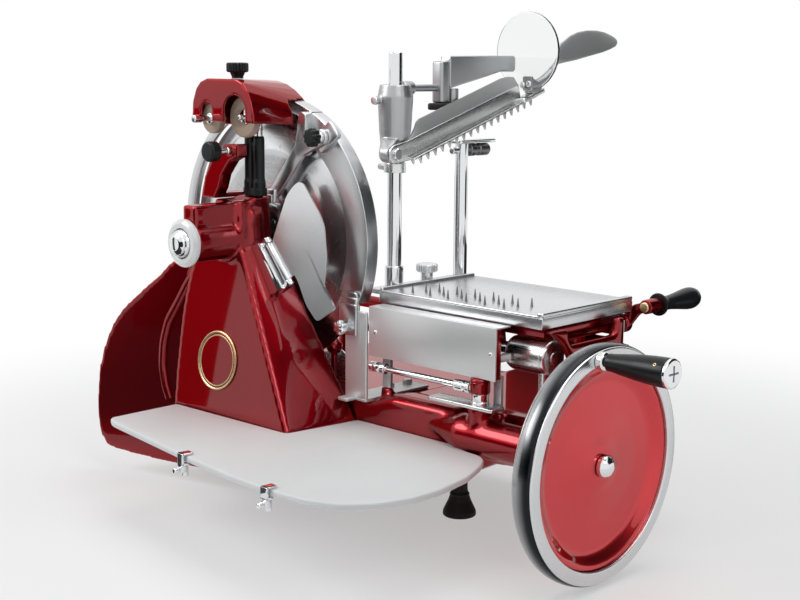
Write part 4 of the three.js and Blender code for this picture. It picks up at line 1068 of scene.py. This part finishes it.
def arm_section(y, half, z0, z1, edge=3.0):
    """A rounded rectangle across the arm at depth y."""
    corner = soften([(-half, z0), (half, z0), (half, z1), (-half, z1)], edge, 4, closed=True)
    return np.stack([FRONT[0] + corner[:, 0], np.full(len(corner), float(y)), corner[:, 1]], 1)


arm = [
    rod("y", 4, 55.3, 112, (147, 0, 479)),
    block(139, 155, 110, 126, 462, 509, 2.2, 4),
    rod("z", 7, 461.8, 478, (147, 138, 0), 40, 0.8),
    loft([arm_section(*row) for row in (
        (124, 6, 482, 511, 2), (126, 8, 478, 515), (150, 7.8, 483, 515.3), (190, 7.2, 491, 515.8),
        (217, 7, 497, 516), (241, 7, 497, 516), (243.7, 6, 499, 514, 2))]),
]
piece("arm_beam", arm, "grey_aluminium", "press_arm")

# %% Pad
oval = circle(np.linspace(0, 2 * np.pi, 56, endpoint=False)) * (11.5, 24.5) + (147, 123.5)
pad = [plate(oval, "xy", 454, 461.7, 2.0, 0), rod("z", 4.5, 455, 469.7, (147, 138, 0), reach=0.4)]
piece("arm_pad", pad, "black_rubber", "press_pad")

# %% Toothed plate
PIVOT, SLOPE = (166, 22, 408), 17.3
TEETH, PITCH, TOOTH_TIP = 17, 12.6, [(0, -12.6), (3.0, -20.4), (3.5, -21), (4.0, -20.4), (7, -12.6)]


def on_plate(parts):
    """From the plate's own axes, along +Y from its pivot, to the machine: turned up by its slope."""
    return moved(parts, SLOPE, PIVOT, about=0)


def shelf_section(y, k):
    """The top flange across the plate at y, from the web's edge up to its far rim; k is 0 where it
    is lowest and 1 at its full height."""
    rise, lean = 8 + 14 * k, 1.5 - 6 * k
    rim = [(lean, y, rise), (lean - 2.5, y, rise), (lean - 2.5, y, rise - 2)]
    return [(3, y, 6.2), (2.6, y, 8), *rim, (0, y, 6)]


WEB = [
    (-10.2, -3), (-7, -8), (0, -10.5), (20, -14), (222, -14), (222, 8), (44, 8), (20, 8), (0, 10.5),
    (-7, 8),
]
web = [
    plate(WEB, "yz", 0, 3, 0.8, 4),
    block(0, 9, 20, 238, -14, -11.5, 0.5, 2),
    block(-4, 10, 218, 262, -14, -8, 1.2, 4),
]
for i in range(TEETH):
    for side in (0, 1):
        tooth = [(22 + i * PITCH + side * 5 + y, z) for y, z in TOOTH_TIP]
        web.append(plate(tooth, "yz", side * 7, side * 7 + 2, 0.3, 0.6))
SHELF = ((26, 0.05), (34, 0.25), (42, 0.55), (48, 0.85), (54, 1.0), (202, 1.0), (214, 0.9), (222, 0.7))
piece("toothed_web", on_plate(web), "pale_steel", "press_plate")
piece("web_shelf", on_plate([loft([shelf_section(*row) for row in SHELF])]), "dark_aluminium", body="press")
pin = solid("x", [(6.4, 3.0), (6.4, 4.4), (5.4, 5.6), (0, 5.8)], (0, 0, 0), 0.4, 40)
piece("pivot_pin", on_plate([pin]), "chrome", body="press")

# %% Hand guard and paddle
DISC = (170, 246, 521)
disc = solid("y", [(46.2, -2), (47, -1.2), (47, 1.2), (46.2, 2)], DISC, 0.5, 128)
piece("clear_disc", [disc], "clear_plastic", "hand_guard")
screws = [
    solid("y", [(2.6, -4.4), (3.8, -3.4), (3.8, -2.1)], (x, DISC[1], z), 0.4)
    for x, z in ((165, 481.5), (174.5, 483))
]
piece("disc_screws", screws, "pale_steel", body="press")


def paddle_section(y, z0, z1, dx0, dx1, thick):
    """An oval across the lever at depth y, leaning from (dx0, z0) to (dx1, z1)."""
    q = np.linspace(0, 2 * np.pi, 28, endpoint=False)
    low, high = np.array([DISC[0] + dx0, z0]), np.array([DISC[0] + dx1, z1])
    middle, half = (low + high) / 2, (high - low) / 2
    square = unit(np.array([half[1], -half[0]])) * thick / 2
    flat = middle + np.cos(q)[:, None] * half + np.sin(q)[:, None] * square
    return np.stack([flat[:, 0], np.full(28, float(y)), flat[:, 1]], 1)


lever = [
    loft([paddle_section(*row) for row in (
        (288, 495, 503, -2, 2, 8), (296, 498, 511, -1, 0, 7), (306, 506.5, 523, 0, -4, 5),
        (318, 508.5, 532, 1, -7, 4), (340, 511.5, 541.5, 1.4, -9, 3.6), (356, 514.5, 546, 1.4, -9.6, 3.4),
        (376, 518, 548.6, 1.4, -9.8, 3.4), (396, 521.5, 548.8, 1.4, -9.6, 3.4),
        (412, 525.4, 547, 1.2, -9, 3.2), (424, 529, 543.5, 0.6, -7.6, 2.8),
        (430, 532.6, 540.4, -1, -5.6, 2.2), (432, 535, 538, -2.4, -4.4, 1.2))]),
    loft([paddle_section(*row) for row in (
        (252.4, 475.6, 492, 0, 0, 9), (256, 475.6, 491, 0, 0, 10), (264, 478, 488, 0, 0, 11),
        (276, 485, 494, 0, 0, 10), (290, 494, 504, 0, 0, 8), (298, 497, 509, 0, 0, 7))]),
    block(162, 176, 248.3, 253, 475.4, 492, 1.4, 3),
    *on_plate([block(-4, 10, 237, 257, -7.7, -4, 1.0, 3)]),
]
piece("hand_paddle", lever, "dark_aluminium", "press_lever")

# %% [markdown]
# ## What stays inside
# The shafts, the bevel gears, the sprockets and the chain are nearly hidden. Their CAD solids have
# the right teeth and grooves, so they stay as they are and only get their oily steel.

# %% Hidden drive parts
KEPT = ("blade_shaft", "cross_shaft", "drive_chain", "main_shaft")
for name in KEPT:
    inside = frame["nodes"][name].data
    inside.materials.clear()
    inside.materials.append(FINISH["drive_steel"])
print("kept CAD solids:", KEPT)

# %% [markdown]
# ## The studio
# The picture is a plain product shot: the camera stands at the right front, a large soft lamp at
# the left, and everything round the slicer is white. The floor keeps the contact shadows and then
# fades to plain white. Dark cards out of view give the steel something to reflect, as in a studio.

# %% Camera
YAW, TILT, ROLL = np.radians([43.86, 9.77, 0.46])
CAMERA_AT = placed([1239.5, -1083.9, 511.2])
SENSOR = 36.0
FOCAL_PIXELS, PICTURE_WIDTH = 1400.0, 800.0


def stand(thing, axes, at):
    """Puts an object at a point, with its own X, Y and Z axes along the three given."""
    matrix = np.eye(4)
    matrix[:3, :3] = np.stack(axes, 1)
    matrix[:3, 3] = at
    thing.matrix_world = Matrix(matrix.tolist())


back = np.array([np.sin(YAW) * np.cos(TILT), -np.cos(YAW) * np.cos(TILT), np.sin(TILT)])
level = np.array([np.cos(YAW), np.sin(YAW), 0.0])
above = np.cross(back, level)
right = level * np.cos(ROLL) + above * np.sin(ROLL)
over = above * np.cos(ROLL) - level * np.sin(ROLL)
camera = place_object("camera", bpy.data.cameras.new("camera"))
camera.data.sensor_width = SENSOR
camera.data.lens = FOCAL_PIXELS * SENSOR / PICTURE_WIDTH
camera.data.clip_end = 50.0
stand(camera, [right, over, back], CAMERA_AT)
bpy.context.scene.camera = camera
print("camera at", CAMERA_AT)


# %% Floor
def sheet_object(name, corners, material):
    """A flat four sided sheet through its corners, in metres."""
    mesh = bpy.data.meshes.new(name)
    mesh.from_pydata([tuple(c) for c in corners], [], [(0, 1, 2, 3)])
    mesh.materials.append(material)
    made = place_object(name, mesh)
    return made


def eyes_only(tree):
    """1 for rays of the camera, of gloss and of clear plastic, and 0 for rays that carry light."""
    rays = tree.nodes.new("ShaderNodeLightPath").outputs
    seen = math_node(tree, "MAXIMUM", rays["Is Camera Ray"], rays["Is Glossy Ray"])
    return math_node(tree, "MAXIMUM", seen, rays["Is Transmission Ray"])


def two_faced(tree, mask, first, second, out):
    """Feeds out with the first shader where mask is 0 and with the second where it is 1."""
    mixer = add_node(tree, "MixShader", mask, first.outputs[0], second.outputs[0])
    feed(tree, mixer.outputs[0], out.inputs["Surface"])


def make_floor():
    """A matt white that takes shadows under 45 per cent of plain white; from 0.5 m to 1.15 m out it
    turns into plain white for the camera and for reflections."""
    material, tree, _ = new_material("studio_floor")
    tree.nodes.clear()
    far = vector_node(tree, "LENGTH", object_point(tree))["Value"]
    fade = add_node(tree, "MapRange", far, 0.5, 1.15, 0.45, interpolation_type="SMOOTHSTEP")
    mask = math_node(tree, "MULTIPLY", eyes_only(tree), fade.outputs["Result"])
    matt = add_node(tree, "BsdfDiffuse", Color=(0.90, 0.90, 0.90))
    plain = add_node(tree, "Emission", Color=(1, 1, 1), Strength=1.0)
    two_faced(tree, mask, matt, plain, add_node(tree, "OutputMaterial"))
    return material


sheet_object("floor", [(-4, -4, 0), (4, -4, 0), (4, 4, 0), (-4, 4, 0)], make_floor())

# %% World
world = bpy.data.worlds.new("studio")
bpy.context.scene.world = world
world.use_nodes = True
tree = world.node_tree
tree.nodes.clear()
soft = add_node(tree, "Background", Color=(0.95, 0.97, 1.0), Strength=0.24)
white = add_node(tree, "Background", Color=(1, 1, 1), Strength=1.0)
two_faced(tree, eyes_only(tree), soft, white, add_node(tree, "OutputWorld"))


# %% Lamps
def lamp(name, at, towards, size, power):
    """A square soft lamp at a place, turned to a point, in metres."""
    data = bpy.data.lights.new(name, "AREA")
    data.shape = "SQUARE"
    data.size = size
    data.energy = power
    d, u, v = basis(np.subtract(at, towards))
    stand(place_object(name, data), [-v, u, d], at)


lamp("key", (-1.6, -2.0, 1.9), (0, 0, 0.25), 1.4, 36)
lamp("top", (0.2, 0.3, 2.6), (0, 0, 0.2), 1.8, 24)
lamp("fill", (1.7, -0.6, 1.75), (0.2, 0, 0.15), 0.8, 7)

# %% Dark cards, seen only by reflections
CARD, _, card_shader = new_material("card_black")
card_shader.inputs["Base Color"].default_value = (0.012, 0.012, 0.014, 1)
card_shader.inputs["Roughness"].default_value = 1.0


def dark_sheet(name, corners):
    """A black sheet through four corners, in metres, that only gloss sees."""
    made = sheet_object(name, corners, CARD)
    made.visible_camera = False
    made.visible_diffuse = False
    made.visible_shadow = False
    made.visible_transmission = False


def facing_card(name, middle, towards, wide, high):
    """A card of wide by high metres at middle, facing towards."""
    _, u, v = basis(np.subtract(towards, middle))
    steps = ((-1, -1), (1, -1), (1, 1), (-1, 1))
    dark_sheet(name, [middle + a * v * wide / 2 + b * u * high / 2 for a, b in steps])


def upright_card(name, start, end, low, high):
    """A card that stands between two (x, y) places."""
    dark_sheet(name, [(*start, low), (*end, low), (*end, high), (*start, high)])


def bearing_card(name, start, end, reach, high, low=0.0):
    """An upright card at the distance reach from the frame's origin, between two bearings in
    degrees from the X axis, so that upright round bars show it as one straight stripe."""
    upright_card(name, *reach * circle(np.radians([start, end])), low, high)


facing_card("card_right", (1.6, 1.7, 1.5), (0, 0, 0.9), 3.0, 2.1)
facing_card("card_back", (0.13, 0.30, 0.13), (0.13, -1.0, 0.13), 0.54, 0.26)
upright_card("card_coat", (-0.94, -0.83), (-1.01, -0.745), 0.02, 0.42)
bearing_card("card_front", -126, -72, 1.3, 0.46)
bearing_card("card_side", 26, 62, 1.5, 0.36, 0.15)
bearing_card("card_behind", 112, 158, 1.3, 0.3)
PATCH = ((-0.75, -0.34), (-0.2, -0.34), (-0.2, -1.45), (-1.0, -1.45))
dark_sheet("patch_shield", [(*place, 0.003) for place in PATCH])

# %% Picture settings
bpy.context.scene.view_settings.view_transform = "Standard"
